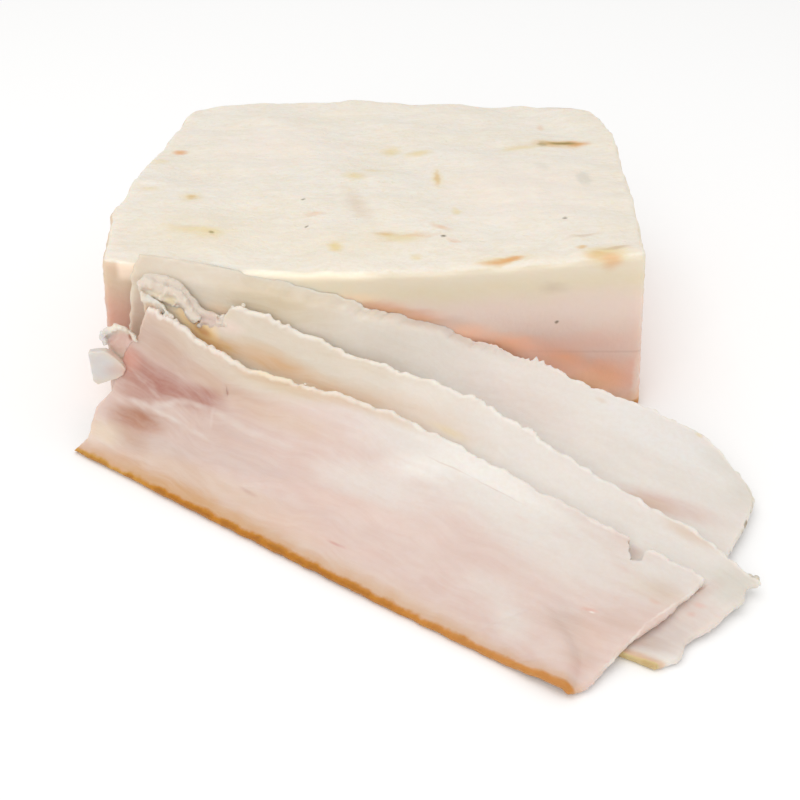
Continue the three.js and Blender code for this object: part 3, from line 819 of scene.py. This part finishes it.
frontSlice = {
    "name": "slice_front", "foot": (-80.732, -20.853), "yaw": -34.8, "length": 137.9, "bow": 0.7,
    "recline": (63.2, 42.6, 26.3, 16.2, 7.1),
    "width": (42.8, 36.2, 41.7, 41.1, 40.7),
    "slant": (6.4, -1.0, 1.9, 4.6, 9.9),
    "sag": (-3, -3, -1, 0, 1),
    "leftEdge": (-0.9, 1.2, 0.1, -0.5, 1.5, 1.3, 1.2, 1.8, 4.0, 4.4, 5.2),
    "rightEdge": (-0.2, -1.5, -1.1, -0.8, -0.4, -0.7, -1.2, -1.2, -1.0, -1.0, -0.6),
    "corner": (137, 139.3, 0.95), "phase": 0.2, "tornFrom": 0, "tuck": 0, "tuckEnds": (0, 1),
    "crumbs": ((0.06, 0.02, 0.9), (0.1, 0.02, 1.2), (0.2, 0.03, 0.6), (0.36, 0.03, 0.9), (0.45, 0.03, 0.8)),
    "bumps": ((2, 3.5, -2.4),),
    "notch": ((121.3, 46), (121.9, 43.4), (122.8, 41.9), (124.3, 39.7), (125.8, 37.4), (126.7, 36.6),
              (127.7, 37.0), (127.9, 38.4), (127.4, 40.2), (127.3, 41.8), (128.2, 43.6), (128.4, 46)),
    "creases": (                 # folds and ridges: path, height at each end, reach on either side
        {"path": ((114, 17.6), (120.8, 15.2), (123.7, 13.1), (127.4, 10.8), (130.7, 8.3), (133, 6.1),
                  (137, -1)),
         "heights": (0.1, 1.7), "reaches": (9.0, 1.4)},
        {"path": ((10.6, 18.1), (14.9, 19.6), (21.3, 24.1), (24.8, 25.5), (30.8, 26.9), (41.3, 25.9),
                  (54.9, 25.4)),
         "heights": (0.6, 0.1), "reaches": (2.8, 1.2)},
        {"path": ((8, 17.8), (14.6, 18.7), (19.3, 19.3), (24.3, 19.4), (33.5, 18.9)),
         "heights": (0.35, 0.1), "reaches": (1.2, 0.9)},
        {"path": ((4.3, 24.7), (10.4, 22.9), (17.4, 21.5), (27.2, 20.2)), "heights": (0.14, 0.14),
         "reaches": (0.7, 0.7)},
        {"path": ((80, 35.6), (92, 36.5), (104, 36.4)), "heights": (0.0, -0.3), "reaches": (0.6, 0.6)},
    ),
    "dents": (                   # run, climb, reach along and up, turn, height
        (25, 30, 14, 5, 20, -0.55),
        (10, 27, 11, 6, 0, -0.5),
        (12, 14.6, 8, 3.6, 10, -0.7),
        (33, 33.4, 0.6, 1.6, 25, -0.5),
        (80, 33.5, 9, 5, 30, 0.5),
        (96, 38, 24, 5, -3, 0.4),
        (52, 12, 7, 5, 20, -0.35),
        (118, 11, 6, 5, 30, -0.4),
        (138, 20, 6, 20, 0, -0.45),
    ),
    "rindWidths": (1.2, 1.4, 1.1),
    "rindTones": ("gold", "caramel"),
    "leftTone": "flesh", "rightTone": "flesh", "turnsAt": (20, 110),
    "spots": (
        ("pearl", (92, 38), (52, 14), 0.95, 0.3, -4),
        ("pearl", (74, 24), (20, 7), 0.7, 0.2, 6),
        ("pearl", (110, 14.7), (9, 5), 0.5),
        ("pearl", (134, 38), (12, 9), 0.9, 0.3),
        # white on the crest and along the upper ridge is a painted highlight
        ("white", (81, 33), (13, 5), 0.65, 0.0, 28),
        ("white", (94, 39), (26, 5), 0.6, 0.2, -3),
        ("pearl", (118, 30), (26, 12), 0.7, 0.2),
        ("pink", (74, 17), (28, 4), 0.3, 0.1, 6),
        ("oat", (28, 39), (34, 5.5), 0.9, 0.3),
        ("wax", (44, 40.5), (16, 3.4), 0.8),
        ("oat", (62, 41), (26, 3), 0.7),
        ("yellow", (42, 42), (12, 1.0), 0.8, 0.3),
        ("nude", (26, 33.6), (26, 4.2), 0.75, 0.1, 3),
        ("tan", (50, 31), (16, 5), 0.4),
        ("tan", (36, 8), (50, 6), 0.6, 0.2),
        ("sand", (36, 2.5), (48, 4.6), 0.85, 0.2),
        ("tan", (90, 2.5), (40, 5), 0.5, 0.2),
        # painted shade under the torn film at the top-left
        ("tan", (10, 36), (16, 8), 0.5, 0.2),
        ("lilac", (22, 11), (18, 4), 0.6, 0.1, 10),
        ("lilac", (44, 17), (22, 5), 0.4, 0.1, 6),
        ("mauve", (22, 26), (36, 26), 0.35, 0.3),
        # painted shade under the torn film
        ("mauve", (8, 35.4), (9, 5), 0.6, 0.3),
        ("ruddy", (5, 25), (9, 7), 0.9, 0.3),
        ("wine", (15, 25.6), (13, 5.4), 0.95, 0.2, 8),
        ("wine", (27, 28.4), (10, 5.0), 0.85, 0.2, 16),
        ("wine", (29.4, 30.7), (5, 2.4), 0.5, 0.1, 12),
        ("wine", (13, 21.6), (8, 4.2), 0.5, 0.2),
        ("ruddy", (14, 28), (12, 4.6), 0.35, 0.2),
        # painted shade under the torn film
        ("mauve", (14, 35), (10, 5), 0.35, 0.3),
        ("tan", (42, 32.6), (20, 5), 0.35),
        ("tan", (64, 6), (14, 5), 0.35),
        ("sand", (52, 40.5), (32, 2.4), 0.35),
        ("mauve", (13, 8.6), (9, 4), 0.6, 0.2),
        ("tan", (27, 34), (8, 4), 0.4),
        ("tan", (68, 8), (9, 4), 0.4),
        ("caramel", (13, 14.4), (6, 3), 0.14),
        ("nude", (134, 21), (6, 4), 0.3),
        ("coral", (3.4, 26.6), (5, 5), 0.6),
        # painted shade under the torn film
        ("nude", (12, 34.6), (8, 3.4), 0.6, 0.2),
        ("ruddy", (8, 19.6), (8, 3), 0.7, 0.1, 10),
        # painted shade in the dent low at the left end
        ("brownShade", (12.2, 14.2), (13, 5.4), 0.95, 0.15, 12),
        ("ivory", (5, 7), (10, 4.5), 0.5, 0.2, 14),
        ("lilac", (40, 24), (11, 2.2), 0.3, 0.1, -10),
        ("ruddy", (49.5, 10.6), (4, 0.9), 0.4, 0.1, -8),
        ("pink", (70, 8), (26, 4.5), 0.45, 0.1, 4),
        ("pink", (70, 7.7), (7, 0.8), 0.7),
        ("vein", (76, 7.6), (3.4, 0.6), 0.75, 0.2),
        ("ruddy", (33.2, 33.4), (0.9, 1.6), 0.9, 0.3, 25),
        # the fold near the right end: pearl is a painted highlight on its lit lower side, lilac painted
        # shade above it
        ("pearl", (118, 9.4), (11, 5), 0.6, 0.1, -36),
        ("lilac", (127.6, 14.5), (11, 4), 0.7, 0.0, -38),
        ("pink", (132, 14), (8, 6), 0.4),
        ("coral", (135.4, 6.4), (3.0, 4.0), 0.3),
        ("coral", (128.4, 19.6), (2.4, 1.0), 0.5, 0.1, 20),
        ("white", (128.9, 19.2), (0.9, 0.5), 0.8, 0.1, 20),
        ("coral", (135.4, 29.4), (1.6, 0.8), 0.4),
        ("oat", (40, 38), (22, 4), 0.3),
        # painted shade in the same dent
        ("brownShade", (12, 14.6), (9, 3.4), 0.7, 0.1, 8),
        ("flesh", (76, 9.4), (22, 5), 0.7, 0.1, 4),
        ("nude", (14, 9), (9, 3.4), 0.6),
        ("oat", (134, 32), (8, 5), 0.5),
        # painted shade of the fold near the right end, and low at that end
        ("flesh", (124, 14.7), (8, 4), 0.5, 0.1, -30),
        ("nude", (134, 8.4), (5, 5), 0.4),
        ("nude", (129, 14.4), (9, 6), 0.35),
        ("nude", (135, 34), (5, 5), 0.3),
        ("fleck", (94.2, 0.2), (1.0, 1.0), 0.9, 0.3),
        ("fleck", (137.2, 0.2), (0.9, 0.9), 0.9, 0.3),
    ),
    "streaks": (
        # pale streaks along the ridges of the creases: partly white strands of the fat, partly painted
        # highlight on the ridges
        ("pearl", ((14.9, 19.6), (18.3, 21.3), (21.3, 24.1), (24.8, 25.5), (30.8, 26.9)), 1.3, 0.4),
        ("pearl", ((30.8, 26.9), (37, 26.3), (41.3, 25.9), (46.7, 25.5), (54.9, 25.4)), 1.5, 0.35),
        ("pearl", ((8, 17.8), (10.6, 18.1), (14.6, 18.7), (19.3, 19.3), (24.3, 19.4)), 1.2, 0.5),
        ("pearl", ((24.3, 19.4), (33.5, 18.9)), 1.2, 0.3),
        ("pearl", ((4.3, 24.7), (10.4, 22.9), (17.4, 21.5), (20.6, 21.8), (27.2, 20.2), (33.5, 18.9)),
         0.6, 0.18),
        ("white", ((31.3, 27.5), (32, 24.9), (32.7, 22.3)), 0.9, 0.16),
        # painted shade in the groove of the last crease
        ("brownShade", ((80, 35.6), (92, 36.5), (104, 36.4)), 0.35, 0.25),
        # painted highlight on the lit cut edge of the right end
        ("white", ((139.0, 39.8), (138.6, 33.3), (137.8, 23.2), (138.6, 14.5), (138.6, 8)), 0.4, 0.5),
    ),
    "scrapSpots": (
        ("chalk", (-74.5, -13, 22), (7, 6, 6), 0.9, 0.5),
        # painted shade on the lower right of the flap
        ("flesh", (-69.6, -13.6, 20.6), (4.4, 6, 3.0), 0.6),
        ("chalk", (-71.6, -13, 29.2), (3.0, 6, 3.4), 0.9, 0.4),
        ("shell", (-68.4, -12.4, 31.4), (3.4, 6, 1.4), 0.9, 0.3),
        # peach is painted light that lifts the shade inside the curl's loop; the brown dot is painted shade
        # in its hole
        ("peach", (-67.8, -12.0, 26.4), (4.2, 6, 3.8), 0.95, 0.6),
        ("brownShade", (-65.6, -12.4, 28.4), (0.8, 6, 1.6), 0.9, 0.2),
        ("white", (-59.6, -9.6, 37.8), (3.8, 6, 1.2), 0.5, 0.2, 38),
        # painted shade under the torn film
        ("tan", (-60.4, -10, 35.4), (2.8, 6, 2.0), 0.8, 0.4),
        ("nude", (-59.4, -10, 34.6), (1.4, 6, 1.2), 0.6),
        ("coral", (-67.4, -13, 19.6), (1.6, 6, 2.4), 0.5),
    ),
}


# Height of the folds and ridges: sharp above and to the right of their path, wide below it
def creaseHeight(cut, run, climb):
    height = 0
    for crease in cut["creases"]:
        path, (first, last), (below, above) = crease["path"], crease["heights"], crease["reaches"]
        best, part, side = None, 0, 1
        for i, ((x0, y0), (x1, y1)) in enumerate(zip(path, path[1:])):
            dx, dy = x1 - x0, y1 - y0
            f = min(max(((run - x0) * dx + (climb - y0) * dy) / (dx * dx + dy * dy), 0), 1)
            away = math.hypot(run - x0 - f * dx, climb - y0 - f * dy)
            if best is None or away < best:
                best, part = away, (i + f) / (len(path) - 1)
                side = dx * (climb - y0) - dy * (run - x0)
        ends = smooth(part, 0, 0.2) * (1 if last > first else smooth(1 - part, 0, 0.2))
        reach = above if side > 0 else below
        height += ends * (first + (last - first) * part) * math.exp(-(best / reach) ** 2)
    return height


def dentHeight(cut, run, climb):
    height = 0
    for runAt, climbAt, reachAlong, reachUp, turn, deep in cut["dents"]:
        c, s = math.cos(math.radians(turn)), math.sin(math.radians(turn))
        x, y = run - runAt, climb - climbAt
        share = ((x * c + y * s) / reachAlong) ** 2 + ((y * c - x * s) / reachUp) ** 2
        if share < 8:
            height += deep * math.exp(-share)
    return height


# The directions of a slice at a station: along it, back over the floor, up its slope, out of its face
def sheetAxes(cut, along):
    yaw = math.radians(cut["yaw"])
    angle = math.radians(through(cut["recline"], along))
    away = Vector((-math.sin(yaw), math.cos(yaw), 0))
    run = Vector((math.cos(yaw), math.sin(yaw), 0))
    rise = away * math.cos(angle) + Vector((0, 0, math.sin(angle)))
    face = away * -math.sin(angle) + Vector((0, 0, math.cos(angle)))
    return run, away, rise, face


def sheetPoint(cut, along, up):
    run, away, rise, face = sheetAxes(cut, along)
    point = Vector((*cut["foot"], sheet["thickness"] / 2 * face.z))
    point += run * (along * cut["length"] + up * through(cut["slant"], along))
    point -= away * cut["bow"] * 4 * along * (1 - along)
    point += rise * up * through(cut["width"], along)
    return point + face * through(cut["sag"], along) * math.sin(math.pi * up)


# How far the torn top edge stands above its even line
def tornOffset(cut, along):
    run, phase = along * cut["length"], cut["phase"]
    offset = 0
    for length, height, times in sheet["waves"]:
        offset += height * math.sin(2 * math.pi * run / length + times * phase)
    for pitch, height, seed in sheet["fray"]:
        offset += height * noise.noise(Vector((run / pitch, phase, seed)))
    for centre, reach, height in cut["crumbs"]:
        patch = math.exp(-(((along - centre) / reach) ** 2))
        clump = noise.noise(Vector((run / sheet["crumbPitch"], phase, 13)))
        offset += patch * height * max(0, clump + 0.1)
    offset *= 1 if cut["tornFrom"] == 0 else smooth(run, 0.4 * cut["tornFrom"], cut["tornFrom"])
    for place, reach, height in cut["bumps"]:
        offset += height * math.exp(-(((run - place) / reach) ** 2))
    return offset


# a and b run over the slice from 0 to 1, from end to end and from rind to torn edge
def alongAt(cut, a, b):
    ragged = 0
    for times, height, seed in sheet["endFray"]:
        ragged += height * noise.noise(Vector((b * times, cut["phase"], seed)))
    start = through(cut["leftEdge"], b) + ragged
    end = through(cut["rightEdge"], b) + ragged
    return a + (start * (1 - a) ** 6 - end * a ** 6) / cut["length"]


def slicePlace(cut, a, b):
    along = alongAt(cut, a, b)
    torn = tornOffset(cut, alongAt(cut, a, 1)) / sheet["width"]
    fray, (broad, sharp) = sheet["footFray"], sheet["cornerRound"]
    foot = noise.noise(Vector((a * cut["length"] / fray["pitch"], cut["phase"], 17)))
    foot *= fray["height"] / sheet["width"]
    start, end, lowest = cut["corner"]
    share = min(1, max(0, (along * cut["length"] - start) / (end - start)))
    limit = lowest + (1 - lowest) * (1 - share ** broad) ** sharp
    lowered = max(0, b - sheet["tearFrom"]) * (1 - limit) / (1 - sheet["tearFrom"])
    return along, b - lowered + torn * smooth(b, sheet["tearFrom"], 1.0) + foot * (1 - b) ** 12


def slicePoint(cut, a, b):
    along, up = slicePlace(cut, a, b)
    run, climb = along * cut["length"], up * sheet["width"]
    place = Vector((run, climb, cut["phase"] * 30))
    swell, frill = sheet["swell"], sheet["frill"]
    height = swell["height"] * noise.fractal(place / swell["pitch"], 1.0, 2.0, 2)
    height += smooth(b, frill["from"], 1.0) * frill["height"] * noise.noise(place / frill["pitch"])
    height -= cut["tuck"] * smooth(b, 0.9, 1.0) * (1 - smooth(run, *cut["tuckEnds"]))
    height += dentHeight(cut, run, climb) + creaseHeight(cut, run, climb)
    return sheetPoint(cut, along, up) + sheetAxes(cut, along)[3] * height


def crowd(t, amount):
    return t - amount * math.sin(2 * math.pi * t) / (2 * math.pi)


# The UV map holds the place on the sheet, the torn attribute the nearness to the torn edge
def modelSheet(cut):
    rows = {"x_subdivisions": sheet["rowsAlong"], "y_subdivisions": sheet["rowsUp"]}
    bpy.ops.mesh.primitive_grid_add(size=1, **rows)
    obj = bpy.context.object
    obj.name = cut["name"].replace("slice", "fat_slice")
    onlySelect(obj)
    mesh = obj.data
    thick = obj.vertex_groups.new(name="thick")
    places, torn = [], []
    for vertex in mesh.vertices:
        a = crowd(vertex.co.x + 0.5, sheet["endCrowding"])
        b = crowd(vertex.co.y + 0.5, sheet["edgeCrowding"])
        places.append(slicePlace(cut, a, b))
        torn.append(b)
        inside = min(min(a, 1 - a) * cut["length"], min(b, 1 - b) * sheet["width"])
        inside = min(1, inside / sheet["edgeRound"])
        thick.add([vertex.index], math.sqrt(1 - (1 - inside) ** 2), "REPLACE")
        vertex.co = slicePoint(cut, a, b) * mm
    for loop in mesh.loops:
        mesh.uv_layers[0].uv[loop.index].vector = places[loop.vertex_index]
    mesh.attributes.new("torn", "FLOAT", "POINT").data.foreach_set("value", torn)
    bpy.ops.object.modifier_add(type="SOLIDIFY")
    wall = obj.modifiers[-1]
    wall.thickness = sheet["thickness"] * mm
    wall.offset = 0
    wall.vertex_group = thick.name
    wall.thickness_vertex_group = sheet["edgeLeast"]
    bpy.ops.object.modifier_apply(modifier=wall.name)
    return obj


# Torn scraps. A strip is a thick line of fat with a radius at each point, a plate a torn flap,
# a bit a crumb at a run and climb on the sheet.

scraps = {
    "voxel": 0.25,
    "lumps": {"pitch": 1.5, "fine": 0.6},                   # pitches of the noise that moves their skin
    "torn": 2.0,                 # torn value that marks a scrap for the material
}
lip = {
    "path": ((-62.6, -7.2, 39.9), (-60.8, -7.1, 40.9), (-58.8, -7.4, 39.9), (-56.7, -7.6, 39.0),
             (-54.6, -7.7, 38.4), (-53.0, -8.2, 36.9), (-51.6, -8.8, 35.0), (-50.5, -9.5, 33.2),
             (-49.2, -10.1, 31.9)),
    "radii": (1.2, 1.4, 1.3, 1.2, 1.3, 1.4, 1.3, 1.5, 1.4),
}
lipFoot = {                      # lower part of the lip, that runs out on the slice
    "path": ((-61.8, -7.4, 38.6), (-59.8, -7.7, 38.3), (-57.8, -8.0, 37.6), (-56.0, -8.3, 36.8),
             (-54.4, -8.9, 35.6)),
    "radii": (1.0, 1.2, 1.2, 1.1, 0.8),
}
lipBack = {                      # behind it, against the rear slice
    "path": ((-62.0, -5.4, 40.8), (-58.8, -5.6, 40.9), (-54.6, -5.9, 39.4), (-51.6, -6.8, 36.0),
             (-48.6, -8.0, 33.0), (-44.6, -8.8, 31.8)),
    "radii": (1.2, 1.3, 1.3, 1.4, 1.3, 1.1),
}
curl = {
    "path": ((-71.6, -12.6, 27.6), (-72.0, -12.6, 29.2), (-71.2, -12.6, 30.3), (-70.0, -12.5, 31.2),
             (-68.5, -12.4, 31.6), (-67.0, -12.2, 31.2), (-65.7, -12.1, 30.1), (-64.6, -12.3, 28.9),
             (-64.0, -12.6, 27.6)),
    "radii": (0.8, 0.95, 0.75, 0.65, 0.6, 0.5, 0.42, 0.38, 0.34),
}
web = {                          # thin tissue that fills the loop of the curl
    "plane": -11.1,
    "thickness": 1.0,
    "outline": ((-71.4, 25.4), (-71.8, 28.6), (-70.2, 31.0), (-67.0, 31.0), (-64.2, 28.4), (-62.2, 22.0),
                (-66.5, 20.6), (-69.4, 22.2)),
}
film = {                         # torn film folded over at the left end of the front slice
    "path": ((-62.2, -9.0, 39.3), (-60.3, -9.3, 38.1), (-58.5, -9.7, 37.0), (-56.6, -10.6, 35.3),
             (-54.7, -11.6, 33.7)),
    "radii": (0.3, 0.45, 0.45, 0.5, 0.4),
}
veil = {                         # thin tissue between the film and the corner of the slice
    "plane": -9.7,
    "thickness": 0.8,
    "outline": ((-62.2, 39.0), (-60.4, 37.8), (-58.6, 36.6), (-57.0, 34.4), (-59.0, 32.2), (-61.4, 33.2)),
}
flap = {
    "plane": -13.6,
    "thickness": 2.0,
    "outline": ((-75.7, 25.6), (-73.6, 25.9), (-71.7, 26.0), (-70.0, 24.9), (-68.0, 22.3),
                (-67.2, 20.7), (-67.9, 19.2), (-69.7, 18.1), (-71.7, 17.4),
                (-74.6, 16.3), (-75.5, 17.1), (-75.7, 21.2)),
}


def strip(path, radii):
    bpy.ops.curve.primitive_bezier_curve_add()
    obj = bpy.context.object
    spline = obj.data.splines[0]
    spline.bezier_points.add(len(path) - 2)
    for point, place, radius in zip(spline.bezier_points, path, radii):
        point.co = Vector(place) * mm
        point.handle_left_type = point.handle_right_type = "AUTO"
        point.radius = radius
    obj.data.bevel_depth = mm
    obj.data.bevel_resolution = 4
    obj.data.use_fill_caps = True
    onlySelect(obj)
    bpy.ops.object.convert(target="MESH")
    return obj


# A block with flat ends: the corners of its outline, and the way through it
def block(corners, way):
    bpy.ops.mesh.primitive_circle_add(vertices=len(corners), fill_type="NGON")
    obj = bpy.context.object
    onlySelect(obj)
    for vertex, corner in zip(obj.data.vertices, corners):
        vertex.co = (corner - way / 2) * mm
    bpy.ops.object.mode_set(mode="EDIT")
    bpy.ops.mesh.select_all(action="SELECT")
    bpy.ops.mesh.extrude_region_move(TRANSFORM_OT_translate={"value": way * mm})
    bpy.ops.mesh.select_all(action="SELECT")
    bpy.ops.mesh.normals_make_consistent(inside=False)
    bpy.ops.object.mode_set(mode="OBJECT")
    return obj


def plate(outline, plane, thickness):
    return block([Vector((x, plane, z)) for x, z in outline], Vector((0, thickness, 0)))


def crumb(place, size):
    bpy.ops.mesh.primitive_ico_sphere_add(subdivisions=2, radius=size * mm, location=place * mm)
    obj = bpy.context.object
    onlySelect(obj)
    bpy.ops.object.transform_apply(location=True)
    return obj


def bit(cut, run, climb, size, lift):
    along = run / cut["length"]
    place = sheetPoint(cut, along, climb / sheet["width"]) + sheetAxes(cut, along)[3] * lift
    return crumb(place, size)


# Crumbs scattered over the skin of a strip
def crumble(path, radii, count, sizes):
    draw = random.Random(count)
    made = []
    for _ in range(count):
        i, f = draw.randrange(len(path) - 1), draw.random()
        place = Vector(path[i]).lerp(Vector(path[i + 1]), f)
        radius = radii[i] + (radii[i + 1] - radii[i]) * f
        way = Vector([draw.gauss(0, 1) for _ in range(3)]).normalized()
        made.append(crumb(place + way * radius * 0.9, draw.uniform(*sizes)))
    return made


# Melts the scraps of a slice into one lumpy skin and unites it with the slice
def uniteScraps(obj, loose, lumps):
    onlySelect(loose[0])
    if len(loose) > 1:
        for piece in loose:
            piece.select_set(True)
        bpy.ops.object.join()
    scrap = bpy.context.object
    pitch, fine = scraps["lumps"]["pitch"] * mm, scraps["lumps"]["fine"] * mm
    bpy.ops.object.modifier_add(type="REMESH")
    scrap.modifiers[-1].mode = "VOXEL"
    scrap.modifiers[-1].voxel_size = scraps["voxel"] * mm
    bpy.ops.object.modifier_apply(modifier=scrap.modifiers[-1].name)
    normals = [n.vector.copy() for n in scrap.data.vertex_normals]
    for vertex, outward in zip(scrap.data.vertices, normals):
        height = noise.noise(vertex.co / pitch) + 0.3 * noise.noise(vertex.co / fine)
        vertex.co += outward * lumps * height * mm
    scrap.data.uv_layers.new(name=obj.data.uv_layers[0].name)
    torn = [scraps["torn"]] * len(scrap.data.vertices)
    scrap.data.attributes.new("torn", "FLOAT", "POINT").data.foreach_set("value", torn)
    combine(obj, scrap, "UNION")


def combine(obj, other, operation):
    onlySelect(obj)
    bpy.ops.object.modifier_add(type="BOOLEAN")
    step = obj.modifiers[-1]
    step.operation = operation
    step.solver = "MANIFOLD"
    step.object = other
    bpy.ops.object.modifier_apply(modifier=step.name)
    bpy.data.objects.remove(other)


# Tears the notch of a slice out of its sheet, with ragged walls
def tearNotch(obj, cut):
    places, pitch, height = [], sheet["notchFray"]["pitch"], sheet["notchFray"]["height"]
    for start, end in zip(cut["notch"], cut["notch"][1:]):
        steps = math.ceil(math.dist(start, end) / sheet["notchStep"])
        for i in range(steps):
            run, climb = Vector(start).lerp(Vector(end), i / steps)
            run += height * noise.noise(Vector((run / pitch, climb / pitch, 3)))
            climb += height * noise.noise(Vector((run / pitch, climb / pitch, 9)))
            places.append((run / cut["length"], climb / sheet["width"]))
    places.append((cut["notch"][-1][0] / cut["length"], cut["notch"][-1][1] / sheet["width"]))
    face = sheetAxes(cut, places[len(places) // 2][0])[3]
    corners = [sheetPoint(cut, *place) for place in places]
    cutter = block(corners, face * 9)
    nearest = []
    for vertex in cutter.data.vertices:
        gaps = [(vertex.co / mm - corner).length for corner in corners]
        nearest.append(places[gaps.index(min(gaps))])
    for loop in cutter.data.loops:
        cutter.data.uv_layers[0].uv[loop.index].vector = nearest[loop.vertex_index]
    torn = [sheet["notchTorn"]] * len(nearest)
    cutter.data.attributes.new("torn", "FLOAT", "POINT").data.foreach_set("value", torn)
    combine(obj, cutter, "DIFFERENCE")


# Keeps the largest part of a slice and sets it down on the floor
def settle(obj):
    onlySelect(obj)
    bpy.ops.mesh.separate(type="LOOSE")
    *crumbs, obj = sorted(bpy.context.selected_objects, key=lambda part: len(part.data.polygons))
    for loose in crumbs:
        bpy.data.objects.remove(loose)
    for vertex in obj.data.vertices:
        vertex.co.z = max(0, vertex.co.z)
    onlySelect(obj)
    bpy.ops.object.shade_smooth_by_angle(angle=math.radians(sheet["sharpAngle"]))
    return obj


def modelRear():
    return settle(modelSheet(rearSlice))


def modelMiddle():
    obj = modelSheet(middleSlice)
    tearNotch(obj, middleSlice)
    bits = ((12.9, 35.1, 0.6, 0.4), (13.5, 35.8, 0.7, 0.4), (14.3, 36.6, 0.75, 0.4), (14.0, 35.7, 0.6, 0.5),
            (15.1, 36.5, 0.7, 0.4), (14.9, 35.6, 0.6, 0.4), (16.1, 36.6, 0.75, 0.3), (16.9, 37.4, 0.5, 0.4),
            (16.0, 41.0, 0.6, 0.2), (17.6, 42.4, 0.6, 0.2), (73.2, 41.8, 0.6, 0.2), (144.6, 38.2, 1.0, 0.0),
            (143.4, 37.8, 0.9, 0.0),
            (12.4, 34.4, 0.9, 0.0), (14.4, 34.8, 0.9, 0.0), (16.4, 35.8, 0.9, 0.0), (15.6, 36.0, 0.8, 0.0),
            (12.2, 35.8, 1.2, -0.1), (13.2, 35.4, 1.2, -0.1), (14.2, 36.4, 1.2, -0.2),
            (15.0, 37.6, 1.2, -0.4), (15.9, 37.2, 1.0, -0.2), (3.8, 35.8, 1.0, 0.6))
    loose = [strip(**lip), strip(**lipFoot), strip(**lipBack)]
    loose += crumble(**lip, count=90, sizes=(0.35, 0.7)) + crumble(**lipFoot, count=30, sizes=(0.3, 0.6))
    uniteScraps(obj, loose + [bit(middleSlice, *b) for b in bits], 0.3)
    return settle(obj)


def modelFront():
    obj = modelSheet(frontSlice)
    tearNotch(obj, frontSlice)
    bits = ((8.2, 41.2, 0.6, 0.2), (10.4, 41.6, 0.7, 0.2), (12.2, 41.4, 0.8, 0.3), (14.0, 41.4, 0.6, 0.2),
            (49.6, 42, 0.5, 0.2), (129.3, 39.8, 0.9, -0.1), (128.9, 38.6, 0.9, 0.1), (128.9, 37.0, 0.7, 0.0))
    loose = [strip(**curl), plate(**web), strip(**film), plate(**veil)]
    loose += crumble(**curl, count=70, sizes=(0.22, 0.5)) + crumble(**film, count=24, sizes=(0.2, 0.35))
    uniteScraps(obj, loose + [bit(frontSlice, *b) for b in bits], 0.35)
    uniteScraps(obj, [plate(**flap)], 0.12)
    return settle(obj)


def sliceMaterial(cut):
    gloss = {"depth": 0.6, "reach": 2.2, "coatRoughness": 0.25}
    material, tree, shader = fatMaterial(cut["name"] + "_fat", gloss)
    coordinates = put(tree, "TexCoord").outputs
    place = vector(tree, "DIVIDE", coordinates["Object"], (mm, mm, mm))
    onSheet = vector(tree, "MULTIPLY", coordinates["UV"], (cut["length"], sheet["width"], 1))
    torn = put(tree, "Attribute", attribute_name="torn").outputs["Fac"]
    run, climb, _ = put(tree, "SeparateXYZ", {0: onSheet}).outputs
    ragged = useGroup(tree, raggedGroup, {"Position": onSheet, "Pitch": 4.0, "Amount": 1.8})["Position"]
    mottle = useGroup(tree, mottleGroup, {"Position": place, "Cloud": 15.0, "Grain": 1.2})
    fibres = useGroup(tree, fibreGroup, {"Position": onSheet, "Length": 16.0, "Width": 1.6})
    surface = useGroup(tree, cutGroup, {"Position": place, "Grain": 0.3, "Pits": 0.1})

    colour = paint(tree, linear(cut["leftTone"]),
                   (ease(tree, run, *cut["turnsAt"]), cut["rightTone"]),
                   (product(tree, mottle["Clouds"], 0.18), "white"))
    colour = addSpots(tree, colour, ragged, cut["spots"])
    thin = useGroup(tree, raggedGroup, {"Position": onSheet, "Pitch": 1.6, "Amount": 1.0})["Position"]
    colour = addStreaks(tree, colour, thin, cut["streaks"])
    colour = paint(tree, colour, (product(tree, fibres["Fibres"], 0.14), "white"),
                   (product(tree, mottle["Grain"], 0.1), "tan"))

    # The rind at the foot, the torn edge at the top painted white (partly as a painted highlight where that
    # edge faces up to the light), and the scraps
    left, mid, right = cut["rindWidths"]
    width = ease(tree, run, 10, 34, left, mid)
    width = calc(tree, "ADD", width, ease(tree, run, 80, 125, 0.0, right - mid))
    rind = useGroup(tree, rindGroup, {"Position": place, "Height": climb, "Width": width})
    colour = paint(tree, colour, (product(tree, rind["Glow"], 0.6), "sand"))
    leftSkin, rightSkin = cut["rindTones"]
    skin = paint(tree, linear(leftSkin), (ease(tree, run, 12, 34), "rind"),
                 (ease(tree, run, 80, 125), rightSkin))
    colour = blendTo(tree, rind["Skin"], colour, skin)
    away = ease(tree, run, 0.4 * cut["tornFrom"] - 1, cut["tornFrom"] + 1)
    colour = paint(tree, colour,
                   (product(tree, rind["Dark"], ease(tree, run, 80, 125, 0.8, 0.3)), "rindDark"),
                   (product(tree, ease(tree, torn, 0.96, 0.99, 0.0, 0.45), away), "white"))
    scrap = addSpots(tree, linear("scrap"), place, cut["scrapSpots"])
    colour = blendTo(tree, ease(tree, torn, 1.2, 1.8), colour, scrap)
    tree.links.new(colour, shader.inputs["Base Color"])

    tree.links.new(ease(tree, mottle["Grain"], 0.0, 1.0, 0.34, 0.5), shader.inputs["Roughness"])
    height = calc(tree, "MULTIPLY_ADD", fibres["Fibres"], 0.25, surface["Height"])
    bump = put(tree, "Bump", {"Height": height, "Strength": 0.5, "Distance": 0.2 * mm})
    tree.links.new(bump.outputs[0], shader.inputs["Normal"])
    return material


for cut, model in ((rearSlice, modelRear), (middleSlice, modelMiddle), (frontSlice, modelFront)):
    finishPiece(model(), cut["name"], sliceMaterial(cut))
